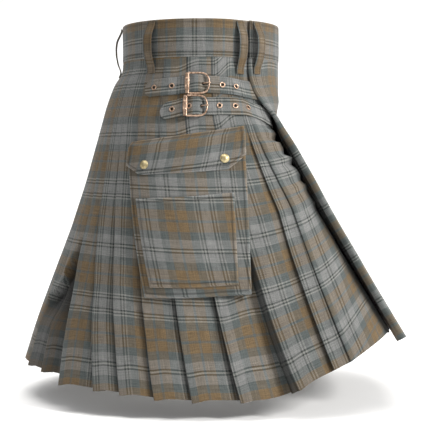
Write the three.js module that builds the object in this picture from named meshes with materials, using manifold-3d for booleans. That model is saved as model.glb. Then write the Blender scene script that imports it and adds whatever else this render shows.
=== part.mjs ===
// Utility kilt, worn form with no wearer. Millimetres, +Z up, front towards -Y, wearer's right towards -X.
// The origin is the centre of the waist, at half the height of the waistband.
// The skirt is held out by the waist, so every piece is a thin wall of cloth around an open hollow.
import * as THREE from "three";
import Module from "manifold-3d";

const wasm = await Module();
wasm.setup();

// Driving sizes of the cloth
const CLOTH = 1.3;
const SEAM_GAP = 0.3;
const BAND_HEIGHT = 62;
const BAND_PROUD = 0.8;
const BAND_THICK = 2.6;
const BAND_INSIDE = BAND_PROUD - BAND_THICK;
const BAND_PROFILE = [
  { run: 0, outside: BAND_PROUD - 0.5, inside: BAND_INSIDE },
  { run: 4, outside: BAND_PROUD, inside: BAND_INSIDE },
  { run: BAND_HEIGHT - 4, outside: BAND_PROUD, inside: BAND_INSIDE },
  { run: BAND_HEIGHT, outside: BAND_PROUD - 0.3, inside: BAND_INSIDE },
];
const BAND_COLUMNS = 61;
const APRON_BAND_COLUMNS = 23;
const BAND_JOIN = 0.1;
const HEM_RUN = 615;
const TOP_OF_BAND = BAND_HEIGHT / 2;

// Outer form: half-widths of the ring at each length of cloth down from the top edge
const FORM = [
  { run: 0, drop: 0, side: 155, back: 135, front: 135, square: 2.0, riseFront: 0, riseBack: 0 },
  { run: 62, drop: 62, side: 155, back: 135, front: 135, square: 2.0, riseFront: 0, riseBack: 0 },
  { run: 80, drop: 80, side: 155.5, back: 137, front: 135, square: 2.0, riseFront: 0, riseBack: 0 },
  { run: 100, drop: 99.8, side: 158, back: 149, front: 135, square: 2.1, riseFront: 0, riseBack: 0 },
  { run: 133, drop: 132, side: 165, back: 162, front: 135, square: 2.5, riseFront: 0, riseBack: 0 },
  { run: 175, drop: 173, side: 175, back: 173.5, front: 137, square: 3.2, riseFront: 3, riseBack: 1 },
  { run: 230, drop: 226, side: 188, back: 188, front: 162, square: 3.3, riseFront: 12, riseBack: 3 },
  { run: 286, drop: 280, side: 202, back: 203, front: 190, square: 3.2, riseFront: 22, riseBack: 4 },
  { run: 360, drop: 352, side: 220, back: 225.5, front: 226, square: 3.1, riseFront: 35, riseBack: 6 },
  { run: 450, drop: 439, side: 243, back: 255, front: 271, square: 3.0, riseFront: 50, riseBack: 8 },
  { run: 530, drop: 516.5, side: 263, back: 284, front: 311, square: 3.0, riseFront: 62, riseBack: 10 },
  { run: 615, drop: 599, side: 285, back: 309, front: 352, square: 3.0, riseFront: 76, riseBack: 12 },
];

// Fold edges of the knife pleats on the wearer's right, in degrees round from the front, where the sewn
// part ends, half way down and at the hem; depth and lap are the fold's own at the hem
const SEWN_RUN = 165;
const HALF_RUN = 330;
const FRONT_FOLD = { sewn: 66, half: 57, hem: 51.2, depth: 9, lap: 14 };
const SIDE_FOLDS = [
  { sewn: 82, half: 72, hem: 60.5, depth: 24, lap: -13 },
  { sewn: 97, half: 90, hem: 77, depth: 12, lap: 16 },
  { sewn: 112, half: 104.5, hem: 92, depth: 10, lap: 22 },
  { sewn: 126, half: 118, hem: 104, depth: 10, lap: 20 },
  { sewn: 138, half: 130, hem: 115.5, depth: 9, lap: 16 },
  { sewn: 148, half: 140, hem: 125, depth: 10, lap: 16 },
  { sewn: 156, half: 149, hem: 140, depth: 17, lap: 6 },
  { sewn: 164, half: 160, hem: 153, depth: 12, lap: 16 },
  { sewn: 172, half: 170, hem: 166.5, depth: 10, lap: 20 },
];
const BACK_FOLD = { sewn: 180, half: 180, hem: 180, depth: 10, lap: 20 };
const LEFT_DEPTH = 10;
const LEFT_LAP = 18;
const CREASE = { sewn: 62, half: 51, hem: 46.5, depth: 4, lap: 4 };

// The cloth behind this fold is hitched up towards the hem, and comes down again behind the left hip
const HITCH_FOLD = SIDE_FOLDS[6];
const HITCH_HEIGHT = 14;
const HITCH_START = 330;
const HITCH_FADE_START = 185;
const HITCH_FADE_END = 240;

// How a fold opens below the sewn part
const STEP_DEPTH = 1.4;
const STEP_WIDTH = 3;
const SEWN_END = 190;
const OPEN_RUN = 215;
const OPEN_DEPTH = 4.8;
const TURN = 2.6;
const SKIRT_RUNS = [62.3, 76, 90, 108, 133, 165, 190, 215, 250, 300, 360, 430, 520, 615];

// Wrap at the front: the free edge of the over-apron and how far the cloth below it sits in
const FREE_EDGE = [
  { run: 0, angle: 56 },
  { run: 95, angle: 56 },
  { run: 118, angle: 54 },
  { run: 140, angle: 50.5 },
  { run: 165, angle: 44.6 },
  { run: 615, angle: 31 },
];
const INSET = [
  { run: 0, depth: 6 },
  { run: 62, depth: 6.4 },
  { run: 100, depth: 8 },
  { run: 165, depth: 10 },
  { run: 300, depth: 10 },
  { run: 450, depth: 6 },
  { run: 615, depth: 5 },
];
const INSET_START_TOP = 2;
const INSET_START_LOW = -10;
const INSET_SHIFT_FROM = 165;
const INSET_SHIFT_TO = 260;
const INSET_SPREAD = 18;
const UNDER_END_TOP = -48;
const UNDER_END_HEM = -38;
const UNDER_COLUMNS = 18;
const APRON_COLUMNS = 16;
const COLUMN_SPACING = 1.5;
const FACING_WIDTH = 4;

// The under-apron's hem rises from the crease to where the free edge hides it
const UNDER_RISE = 21;
const UNDER_RISE_START = 430;
const UNDER_RISE_FROM = 46.5;
const UNDER_RISE_TO = 31;

// The free edge stands out from the cloth below it, and the flat front between the hips is tucked in
const FLARE = [
  { run: 120, depth: 0 },
  { run: 140, depth: 4 },
  { run: 180, depth: 12 },
  { run: 230, depth: 17 },
  { run: 300, depth: 20 },
  { run: 450, depth: 23 },
  { run: 615, depth: 20.5 },
];
const TUCK = [
  { run: 130, depth: 0 },
  { run: 180, depth: 6 },
  { run: 230, depth: 10 },
  { run: 300, depth: 14 },
  { run: 615, depth: 16 },
];
const FLARE_SPREAD = 12;
const TUCK_FADE_START = 40;
const TUCK_FADE_END = 75;

// Belt loops: place in degrees, and which layer of the wrap each one is sewn to
const LOOP_WIDTH = 17;
const LOOP_THICK = 1.8;
const LOOP_SEAT = 0.4;
const LOOP_SEAT_END = 80;
const LOOP_LINE = [
  { run: 3, lift: 0 },
  { run: 8, lift: 0.6 },
  { run: 14, lift: 4 },
  { run: 24, lift: 9.2 },
  { run: 36, lift: 11 },
  { run: 50, lift: 10.4 },
  { run: 62, lift: 7.6 },
  { run: 72, lift: 4 },
  { run: 80, lift: 0.9 },
  { run: 88, lift: 0 },
];
const LOOPS = [
  { name: "belt_loop_back", angle: 180, apron: false },
  { name: "belt_loop_right_rear", angle: 122, apron: false },
  { name: "belt_loop_right_side", angle: 63, apron: false },
  { name: "belt_loop_apron_right", angle: 50.5, apron: true },
  { name: "belt_loop_apron_left", angle: -52, apron: true },
  { name: "belt_loop_left_rear", angle: 238, apron: false },
];

// Hip straps: height of the middle line at angles round the hip
const STRAP_WIDTH = 29;
const STRAP_THICK = 2;
const STRAP_LIFT = 0.5;
const STRAP_EASE = 1.8;
const EASE_START = 50;
const EASE_END = 62;
const TIP_LENGTH = 4.4;
const TIP_NARROWEST = 0.35;
const TIP_STEPS = [4.4, 3, 1.4, 0.5, 0];
const STRAP_STEP_FRONT = 3;
const STRAP_STEP_BUCKLE = 1;
const STRAP_STEP_REAR = 2.4;
const EYELET_HOLE = 2.5;
const EYELET_OUTER = 4.7;
const EYELET_PLAY = 0.2;
const EYELET_SHOULDER = 0.4;
const EYELET_LIP = 0.9;
const EYELET_HEIGHT = 1;
const HOLE_LENGTH = 14;
const HOLE_SIDES = 10;
const STRAPS = [
  {
    name: "strap_upper",
    buckle: { angle: 91, run: 107 },
    line: [
      { angle: 42, run: 117 },
      { angle: 58, run: 113 },
      { angle: 68, run: 111 },
      { angle: 77, run: 109 },
      { angle: 91, run: 107 },
      { angle: 106, run: 110.5 },
      { angle: 124, run: 114 },
    ],
    eyelets: [68.2, 76.8, 106.2, 117.5],
  },
  {
    name: "strap_lower",
    buckle: { angle: 92, run: 145 },
    line: [
      { angle: 38, run: 164 },
      { angle: 52, run: 153 },
      { angle: 65, run: 144.5 },
      { angle: 79, run: 144 },
      { angle: 92, run: 145 },
      { angle: 99, run: 146 },
      { angle: 112, run: 154 },
    ],
    eyelets: [62.5, 70.2, 79, 105.2],
  },
];
const CHAPE_LENGTH = 25;
const CHAPE_WIDTH = 24;
const CHAPE_THICK = 1.2;
const BAR_RADIUS = 0.9;
const BAR_HEIGHT = 2.9;
const FRAME_ROD = 1.5;
const FRAME_HEIGHT = 5.9;
const FRAME_HALF = 16.8;
const FRAME_OUTLINE = [
  { s: -16, t: -15.4 },
  { s: -9, t: -FRAME_HALF },
  { s: 4, t: -FRAME_HALF },
  { s: 12.5, t: -14.8 },
  { s: 17, t: -8.8 },
  { s: 18.4, t: 0 },
  { s: 17, t: 8.8 },
  { s: 12.5, t: 14.8 },
  { s: 4, t: FRAME_HALF },
  { s: -9, t: FRAME_HALF },
  { s: -16, t: 15.4 },
  { s: -17, t: 0 },
];
const BROAD_BAR_AT = -17;
const BROAD_BAR_WIDTH = 7.4;
const BROAD_BAR_THICK = 3;
const BROAD_BAR_TAPER = 0.35;
const BAR_END = 0.2;
const BAR_BEND = 2.6;
const ROD_SIDES = 6;
const STRAP_HUMP = 5.8;
const HUMP = { from: -14, full: -3.5, leave: 3, end: 11 };
const STRAP_OVER_CHAPE = 2.2;
const OVER_CHAPE = { from: 8, full: 1 };
const CHAPE_LIFT = 0.6;
const CHAPE_STEP = 6;
const CHAPE_SLOT = { width: 8, height: 4, depth: 12, at: 1.4 };
const CHAPE_STRAIGHT = { from: -9, full: -3 };
const PRONG_ROD = 1.1;
const PRONG_HOLE_AT = 8.5;
const PRONG_LINE = [
  { s: 1.5, height: BAR_HEIGHT },
  { s: 4, height: 2.55 },
  { s: 6.2, height: 2.7 },
  { s: 8.5, height: 4.1 },
  { s: 11, height: 5.9 },
  { s: 15, height: 8.1 },
  { s: 19, height: 8.9 },
  { s: 21, height: 8.7 },
];

// Cargo pocket, corners in degrees round and in length of cloth down from the top edge
const BAG = { left: 128, leftTop: 226, leftLow: 110.2, leftBottom: 462, right: 67.6, rightTop: 205,
  rightLow: 71.0, rightBottom: 452 };
const PATCH = { left: 118.7, leftTop: 304, leftLow: 108.2, leftBottom: 446, right: 74.5, rightTop: 290,
  rightLow: 75.4, rightBottom: 438 };
const FLAP = { left: 127.2, leftTop: 206, leftLow: 127.0, leftBottom: 266, right: 66.8, rightTop: 177,
  rightLow: 68.2, rightBottom: 249 };
const BAG_STAND = 5.2;
const PATCH_STAND = 9.6;
const TRAY_STEP = 0.75;
const TRAY_ACROSS = [
  { outside: 0, inside: 0.01 },
  { outside: 0.008, inside: 0.02 },
  { outside: 0.03, inside: 0.035 },
  { outside: 0.14, inside: 0.14 },
  { outside: 0.3, inside: 0.3 },
  { outside: 0.5, inside: 0.5 },
  { outside: 0.7, inside: 0.7 },
  { outside: 0.86, inside: 0.86 },
  { outside: 0.97, inside: 0.965 },
  { outside: 0.992, inside: 0.98 },
  { outside: 1, inside: 0.99 },
];
const TRAY_DOWN = [
  { outside: 0, inside: 0 },
  { outside: 0.18, inside: 0.18 },
  { outside: 0.4, inside: 0.4 },
  { outside: 0.62, inside: 0.62 },
  { outside: 0.82, inside: 0.82 },
  { outside: 0.965, inside: 0.955 },
  { outside: 0.99, inside: 0.975 },
  { outside: 1, inside: 0.987 },
];
const FLAP_SEAT = 0.5;
const FLAP_LIFT = 6.2;
const FLAP_THICK = 2.2;
const FLAP_CORNER = 0.14;
const FLAP_CORNER_CUT = 0.3;
const FLAP_RISE = 0.22;
const FLAP_ACROSS = [0, 0.07, 0.14, 0.3, 0.5, 0.7, 0.86, 0.93, 1];
const FLAP_DOWN = [0, 0.1, 0.35, 0.7, 1];
const SNAPS = [
  { name: "rear", across: 0.18, down: 0.74 },
  { name: "front", across: 0.83, down: 0.74 },
];
const SNAP_RADIUS = 7.4;
const SNAP_HEIGHT = 3.4;
const SNAP_SEAT = 0.45;
const SNAP_SIDES = 12;
const SNAP_PROFILE = [
  { radius: 0, height: 0 },
  { radius: SNAP_RADIUS, height: 0 },
  { radius: SNAP_RADIUS, height: 1.1 },
  { radius: SNAP_RADIUS - 1.4, height: 1.4 },
  { radius: SNAP_RADIUS - 2.6, height: 2.6 },
  { radius: 0, height: SNAP_HEIGHT },
];

const DEGREE = Math.PI / 180;
const ANGLE_STEP = 0.5;
const RUN_STEP = 2;
const clamp = (value, low, high) => Math.min(high, Math.max(low, value));
const mix = (a, b, share) => a + (b - a) * share;

// Share that eases from 0 at low to 1 at high
function ease(low, high, value) {
  const share = clamp((value - low) / (high - low), 0, 1);
  return share * share * (3 - 2 * share);
}

// Straight-line reading of a short table
function reading(table, key, column, at) {
  const last = table.length - 1;
  if (at <= table[0][key]) return table[0][column];
  if (at >= table[last][key]) return table[last][column];
  const row = table.findIndex((entry) => entry[key] > at) - 1;
  const share = (at - table[row][key]) / (table[row + 1][key] - table[row][key]);
  return mix(table[row][column], table[row + 1][column], share);
}

// Slope of a column of the form table at one row, from its two neighbours
function slope(row, column) {
  const last = FORM.length - 1;
  const below = FORM[Math.max(row - 1, 0)];
  const above = FORM[Math.min(row + 1, last)];
  const here = FORM[row];
  const stepBelow = here.run - below.run;
  const stepAbove = above.run - here.run;
  if (stepBelow === 0 || stepAbove === 0) return (above[column] - below[column]) / (above.run - below.run);
  const rise = stepBelow ** 2 * above[column] + (stepAbove ** 2 - stepBelow ** 2) * here[column];
  return (rise - stepAbove ** 2 * below[column]) / (stepBelow * stepAbove * (stepBelow + stepAbove));
}

// Smooth reading of a column of the form table
function form(column, run) {
  const last = FORM.length - 1;
  const row = clamp(FORM.findIndex((entry) => entry.run > run) - 1, 0, last - 1);
  const start = run >= FORM[last].run ? last - 1 : row;
  const width = FORM[start + 1].run - FORM[start].run;
  const t = (run - FORM[start].run) / width;
  const fromStart = (2 * t ** 3 - 3 * t ** 2 + 1) * FORM[start][column];
  const fromSlope = (t ** 3 - 2 * t ** 2 + t) * width * slope(start, column);
  const fromEnd = (-2 * t ** 3 + 3 * t ** 2) * FORM[start + 1][column];
  return fromStart + fromSlope + fromEnd + (t ** 3 - t ** 2) * width * slope(start + 1, column);
}

// Point of the outer form at an angle round from the front and a length down the cloth
function formPoint(angle, run) {
  const turn = angle * DEGREE;
  const forward = Math.cos(turn);
  const sideways = Math.sin(turn);
  const reach = forward > 0 ? form("front", run) : form("back", run);
  const power = 2 + (form("square", run) - 2) * ease(0, 0.5, forward);
  const sum = Math.abs(forward / reach) ** power + Math.abs(sideways / form("side", run)) ** power;
  const radius = sum ** (-1 / power);
  const liftFront = form("riseFront", run) * ease(0.3, 0.9, forward);
  const liftBack = form("riseBack", run) * ease(0, 0.7, -forward);
  const height = TOP_OF_BAND - form("drop", run) + liftFront + liftBack;
  return new THREE.Vector3(-radius * sideways, -radius * forward, height);
}

// Directions on a surface: round towards the front of the wearer's right, up the cloth and outwards
function directions(angle, run, surface = formPoint) {
  const round = surface(angle - ANGLE_STEP, run, 0).sub(surface(angle + ANGLE_STEP, run, 0)).normalize();
  const up = surface(angle, run - RUN_STEP, 0).sub(surface(angle, run + RUN_STEP, 0)).normalize();
  const out = new THREE.Vector3().crossVectors(round, up).normalize();
  return { round, up, out };
}

// Point moved out from the form by lift
function outer(angle, run, lift) {
  return formPoint(angle, run).addScaledVector(directions(angle, run).out, lift);
}

// How far the body cloth sits inside the outer form, full under the over-apron and nothing at the side
function inset(angle, run) {
  const lead = mix(INSET_START_TOP, INSET_START_LOW, ease(INSET_SHIFT_FROM, INSET_SHIFT_TO, run));
  const start = reading(FREE_EDGE, "run", "angle", run) + lead;
  return reading(INSET, "run", "depth", run) * (1 - ease(start, start + INSET_SPREAD, angle));
}

// Degrees from the free edge back across the front, counted on round the far side
function beforeEdge(angle, run) {
  return reading(FREE_EDGE, "run", "angle", run) - (angle > 180 ? angle - 360 : angle);
}

// How far the front is tucked in: nothing at the free edge, full across the front, nothing at the left hip
function tuck(angle, run) {
  const away = beforeEdge(angle, run);
  const share = ease(0, FLARE_SPREAD, away) - ease(TUCK_FADE_START, TUCK_FADE_END, away);
  return reading(TUCK, "run", "depth", run) * share;
}

// Point moved out from the body cloth by lift, on the wearer's right and below the over-apron
function body(angle, run, lift) {
  const share = Math.min(Math.max((UNDER_RISE_FROM - angle) / (UNDER_RISE_FROM - UNDER_RISE_TO), 0), 1);
  const drawn = run - UNDER_RISE * share * ease(UNDER_RISE_START, HEM_RUN, run);
  return outer(angle, drawn, lift - inset(angle, drawn) - tuck(angle, drawn));
}

// Point moved out from the over-apron's line by lift, which is tucked in and flares out at its free edge
function apron(angle, run, lift) {
  const flare = reading(FLARE, "run", "depth", run) * (1 - ease(0, FLARE_SPREAD, beforeEdge(angle, run)));
  return outer(angle, run, lift + flare - tuck(angle, run));
}

// Closed mesh between an outer and an inner grid of points with the same rows and columns
function wall(outside, inside) {
  const rows = outside.length;
  const columns = outside[0].length;
  const points = [...outside.flat(), ...inside.flat()];
  const index = [];
  const at = (row, column, layer) => layer * rows * columns + row * columns + column;
  const quad = (a, b, c, d) => index.push(a, b, c, a, c, d);
  for (let row = 0; row < rows - 1; row++)
    for (let column = 0; column < columns - 1; column++) {
      const next = column + 1;
      quad(at(row, column, 0), at(row + 1, column, 0), at(row + 1, next, 0), at(row, next, 0));
      quad(at(row, column, 1), at(row, next, 1), at(row + 1, next, 1), at(row + 1, column, 1));
    }
  for (let column = 0; column < columns - 1; column++) {
    const next = column + 1;
    quad(at(0, column, 0), at(0, next, 0), at(0, next, 1), at(0, column, 1));
    quad(at(rows - 1, column, 0), at(rows - 1, column, 1), at(rows - 1, next, 1), at(rows - 1, next, 0));
  }
  for (let row = 0; row < rows - 1; row++) {
    const end = columns - 1;
    quad(at(row, 0, 0), at(row, 0, 1), at(row + 1, 0, 1), at(row + 1, 0, 0));
    quad(at(row, end, 0), at(row + 1, end, 0), at(row + 1, end, 1), at(row, end, 1));
  }
  return solidFrom(points, index);
}

// The same triangles, each facing the other way
function turnedRound(index) {
  const faces = [...index];
  for (let i = 0; i < faces.length; i += 3) {
    faces[i + 1] = index[i + 2];
    faces[i + 2] = index[i + 1];
  }
  return faces;
}

// Solid from points and triangles, turned to face outwards
function solidFrom(points, index) {
  let volume = 0;
  for (let i = 0; i < index.length; i += 3) {
    const [a, b, c] = [points[index[i]], points[index[i + 1]], points[index[i + 2]]];
    volume += a.dot(new THREE.Vector3().crossVectors(b, c));
  }
  const flat = points.flatMap((point) => [point.x, point.y, point.z]);
  const geometry = new THREE.BufferGeometry();
  geometry.setAttribute("position", new THREE.Float32BufferAttribute(flat, 3));
  geometry.setIndex(volume < 0 ? turnedRound(index) : index);
  return geometry;
}

// Triangles of a geometry, with or without an index
function facesOf(geometry) {
  if (geometry.index) return Array.from(geometry.index.array);
  return Array.from({ length: geometry.getAttribute("position").count }, (_, i) => i);
}

// Manifold solid of a geometry, with points merged where they meet
function toSolid(geometry) {
  const position = geometry.getAttribute("position");
  const faces = facesOf(geometry);
  const seen = new Map();
  const vertices = [];
  const merged = Array.from({ length: position.count }, (_, i) => {
    const point = [position.getX(i), position.getY(i), position.getZ(i)];
    const key = point.map((value) => Math.round(value * 1000)).join();
    if (!seen.has(key)) seen.set(key, vertices.push(point) - 1);
    return seen.get(key);
  });
  const triangles = [];
  for (let i = 0; i < faces.length; i += 3) {
    const [a, b, c] = [merged[faces[i]], merged[faces[i + 1]], merged[faces[i + 2]]];
    if (a !== b && b !== c && a !== c) triangles.push(a, b, c);
  }
  const vertProperties = new Float32Array(vertices.flat());
  const triVerts = new Uint32Array(triangles);
  return new wasm.Manifold(new wasm.Mesh({ numProp: 3, vertProperties, triVerts }));
}

// Geometry of a manifold solid
function toGeometry(solid) {
  const mesh = solid.getMesh();
  const geometry = new THREE.BufferGeometry();
  geometry.setAttribute("position", new THREE.BufferAttribute(mesh.vertProperties.slice(), mesh.numProp));
  geometry.setIndex(new THREE.BufferAttribute(mesh.triVerts.slice(), 1));
  return geometry;
}

// Angle of a fold edge at a length down the cloth
function foldAngle(fold, run) {
  if (run <= SEWN_RUN) return fold.sewn;
  if (run <= HALF_RUN) return mix(fold.sewn, fold.half, (run - SEWN_RUN) / (HALF_RUN - SEWN_RUN));
  return mix(fold.half, fold.hem, (run - HALF_RUN) / (HEM_RUN - HALF_RUN));
}

// The four corners of a fold at one height: along the ring from the fold edge, and out from the form.
// In the sewn part they make a shallow step; below it the step deepens, then laps under the edge.
function foldCorners(fold, run) {
  const opened = ease(SEWN_END, OPEN_RUN, run);
  const grown = clamp((run - OPEN_RUN) / (HEM_RUN - OPEN_RUN), 0, 1);
  const full = Math.min(OPEN_DEPTH, fold.depth);
  const depth = mix(mix(STEP_DEPTH, full, opened), fold.depth, grown);
  const lap = mix(mix(-STEP_WIDTH, -1, opened), fold.lap, Math.sqrt(grown));
  const turn = Math.min(TURN, depth / 3);
  const third = Math.max(-lap, 0) / 3;
  return [
    { along: 0, lift: 0 },
    { along: third, lift: -turn },
    { along: -lap - third, lift: turn - depth },
    { along: -lap, lift: -depth },
  ];
}

// Length along the ring for one degree
function ringPerDegree(angle, run) {
  return formPoint(angle - ANGLE_STEP, run).distanceTo(formPoint(angle + ANGLE_STEP, run)) / (2 * ANGLE_STEP);
}

// Middle-line point of the cloth: an angle, a distance along the ring and a lift
function clothPoint(surface, angle, run, along, lift) {
  return surface(angle + along / ringPerDegree(angle, run), run, lift - CLOTH / 2);
}

// Walls of cloth from the middle line of each ring, offset level to both sides with mitred corners
function clothWall(rings, thickAt) {
  const sides = [1, -1].map((side) =>
    rings.map((ring) =>
      ring.map((point, i) => {
        const before = ring[Math.max(i - 1, 0)];
        const after = ring[Math.min(i + 1, ring.length - 1)];
        const into = new THREE.Vector2(point.x - before.x, point.y - before.y);
        const away = new THREE.Vector2(after.x - point.x, after.y - point.y);
        if (i === 0) into.copy(away);
        if (i === ring.length - 1) away.copy(into);
        const first = new THREE.Vector2(into.y, -into.x).normalize();
        const second = new THREE.Vector2(away.y, -away.x).normalize();
        const mitre = first.clone().add(second).normalize();
        const reach = (thickAt(i, ring.length) / 2 / Math.max(mitre.dot(first), 0.5)) * side;
        return new THREE.Vector3(point.x + mitre.x * reach, point.y + mitre.y * reach, point.z);
      }),
    ),
  );
  return wall(sides[0], sides[1]);
}

const mirrored = SIDE_FOLDS.map((fold) => ({
  sewn: 360 - fold.sewn,
  half: 360 - fold.half,
  hem: 360 - fold.hem,
  depth: LEFT_DEPTH,
  lap: LEFT_LAP,
})).reverse();
const LAST_FOLD = { sewn: 294, half: 303, hem: 308.8, depth: 9, lap: 12 };
const SKIRT_FOLDS = [...SIDE_FOLDS, BACK_FOLD, ...mirrored, LAST_FOLD];

// Start of the cloth that lies under a fold, beside the end of the fold's own return
function underFold(fold, run, surface) {
  const end = foldCorners(fold, run)[2];
  const opened = ease(SEWN_END, OPEN_RUN, run);
  const along = end.along + mix(SEAM_GAP, 0, opened);
  const lift = end.lift - mix(0, CLOTH + SEAM_GAP, opened);
  return clothPoint(surface, foldAngle(fold, run), run, along, lift);
}

// Points of one fold in a ring, with or without the last corner
function foldPoints(fold, run, surface, count) {
  return foldCorners(fold, run)
    .slice(0, count)
    .map((corner) => clothPoint(surface, foldAngle(fold, run), run, corner.along, corner.lift));
}

// A point part of the way along the face between two folds, slightly full
function facePoint(before, after, run, surface, share) {
  const from = foldCorners(before, run)[3];
  const angle = mix(foldAngle(before, run), foldAngle(after, run), share);
  return clothPoint(surface, angle, run, 0, from.lift * (1 - share) ** 1.5);
}

// How far the cloth beside a fold is hitched up
function hitch(fold, run) {
  const angle = foldAngle(fold, run);
  return HITCH_HEIGHT * ease(HITCH_START, HEM_RUN, run) * (1 - ease(HITCH_FADE_START, HITCH_FADE_END, angle));
}

// Pleated skirt: from under the first fold on the wearer's right, round the back, to the left hip
function pleatedSkirt() {
  const rings = SKIRT_RUNS.map((run) => {
    const ring = [underFold(FRONT_FOLD, run, body)];
    let before = FRONT_FOLD;
    let raised = 0;
    for (const fold of SKIRT_FOLDS) {
      const face = facePoint(before, fold, run, body, 0.5);
      const corners = foldPoints(fold, run, body, fold === LAST_FOLD ? 3 : 4);
      const behind = raised > 0 || fold === HITCH_FOLD ? hitch(fold, run) : 0;
      face.z += raised;
      corners.forEach((corner, i) => {
        corner.z += i < 2 && fold === HITCH_FOLD ? 0 : behind;
      });
      ring.push(face, ...corners);
      raised = behind;
      before = fold;
    }
    return ring;
  });
  return clothWall(rings, () => CLOTH);
}

const underEnd = (run) => mix(UNDER_END_TOP, UNDER_END_HEM, run / HEM_RUN);

// Under-apron: from its left end, under the over-apron, to the first pleat's fold on the wearer's right
function underApron() {
  const rings = SKIRT_RUNS.map((run) => {
    const ring = [];
    for (let i = 0; i < UNDER_COLUMNS; i++) {
      const angle = mix(foldAngle(CREASE, run), underEnd(run), (1 - i / UNDER_COLUMNS) ** COLUMN_SPACING);
      ring.push(clothPoint(body, angle, run, 0, 0));
    }
    ring.push(...foldPoints(CREASE, run, body, 4));
    ring.push(facePoint(CREASE, FRONT_FOLD, run, body, 0.5));
    ring.push(...foldPoints(FRONT_FOLD, run, body, 3));
    return ring;
  });
  return clothWall(rings, () => CLOTH);
}

// Over-apron: from under the last pleat's fold at the left hip to its free edge, turned in as a facing
function overApron() {
  const rings = SKIRT_RUNS.map((run) => {
    const edge = 360 + reading(FREE_EDGE, "run", "angle", run);
    const from = foldAngle(LAST_FOLD, run) + 2;
    const ring = [underFold(LAST_FOLD, run, apron)];
    for (let i = 1; i < APRON_COLUMNS - 1; i++) {
      const angle = mix(edge, from, (1 - i / (APRON_COLUMNS - 1)) ** COLUMN_SPACING);
      ring.push(clothPoint(apron, angle, run, 0, 0));
    }
    ring.push(clothPoint(apron, edge, run, -FACING_WIDTH, -CLOTH / 2));
    ring.push(clothPoint(apron, edge, run, 0, 0));
    return ring;
  });
  return clothWall(rings, (i, count) => (i >= count - 2 ? 2 * CLOTH : CLOTH));
}

// Waistband strip between two angles, on the body or on the outer form
function bandWall(surface, from, to, columns) {
  const grid = (column) =>
    BAND_PROFILE.map((entry) =>
      Array.from({ length: columns }, (_, i) => {
        const angle = mix(from, to, i / (columns - 1));
        return surface(angle, entry.run, entry[column]);
      }),
    );
  return wall(grid("outside"), grid("inside"));
}

// Belt loop: a strip held at the band's top and below its seam, bowed out between
function beltLoop(angle, surface) {
  const perDegree = surface(angle - ANGLE_STEP, 0, 0).distanceTo(surface(angle + ANGLE_STEP, 0, 0));
  const half = LOOP_WIDTH / 2 / perDegree;
  const grid = (extra) =>
    LOOP_LINE.map((entry) => {
      const seat = mix(BAND_PROUD, 0, ease(BAND_HEIGHT, LOOP_SEAT_END, entry.run));
      const lift = seat + LOOP_SEAT + entry.lift + extra;
      return [half, 0, -half].map((turn) => surface(angle + turn, entry.run, lift));
    });
  return wall(grid(LOOP_THICK), grid(0));
}

// Distance along the hip from the buckle's middle, towards the wearer's front
function alongStrap(strap, angle) {
  const { buckle } = strap;
  const reach = 5;
  const front = body(buckle.angle - reach, buckle.run, 0);
  const rear = body(buckle.angle + reach, buckle.run, 0);
  return ((buckle.angle - angle) * front.distanceTo(rear)) / (2 * reach);
}

// Lift of the strap's lower side: over the chape behind the buckle, over its bar, under its frame, and
// easing off the body where it goes in under the over-apron
function strapLift(strap, angle) {
  const along = alongStrap(strap, angle);
  const onChape = ease(-CHAPE_LENGTH - OVER_CHAPE.from, -CHAPE_LENGTH - OVER_CHAPE.full, along);
  const resting = along < 0 ? mix(STRAP_LIFT, STRAP_OVER_CHAPE, onChape) : STRAP_LIFT;
  const hump = ease(HUMP.from, HUMP.full, along) * (1 - ease(HUMP.leave, HUMP.end, along));
  return mix(resting, STRAP_HUMP, hump) + STRAP_EASE * (1 - ease(EASE_START, EASE_END, angle));
}

// Vertical prism of a hole through the strap
function holePrism(place, radius) {
  const { round, up, out } = place.axes;
  const prism = new THREE.CylinderGeometry(radius, radius, HOLE_LENGTH, HOLE_SIDES).rotateX(Math.PI / 2);
  prism.applyMatrix4(new THREE.Matrix4().makeBasis(round, up, out).setPosition(place.middle));
  return prism;
}

// Place on the strap at an angle: the middle of its width and thickness, and its directions
function strapPlace(strap, angle) {
  const run = reading(strap.line, "angle", "run", angle);
  const lift = strapLift(strap, angle) + STRAP_THICK / 2;
  const upper = body(angle, run - STRAP_WIDTH / 2, lift);
  const middle = body(angle, run + STRAP_WIDTH / 2, lift).lerp(upper, 0.5);
  return { middle, axes: directions(angle, run, body) };
}

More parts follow.
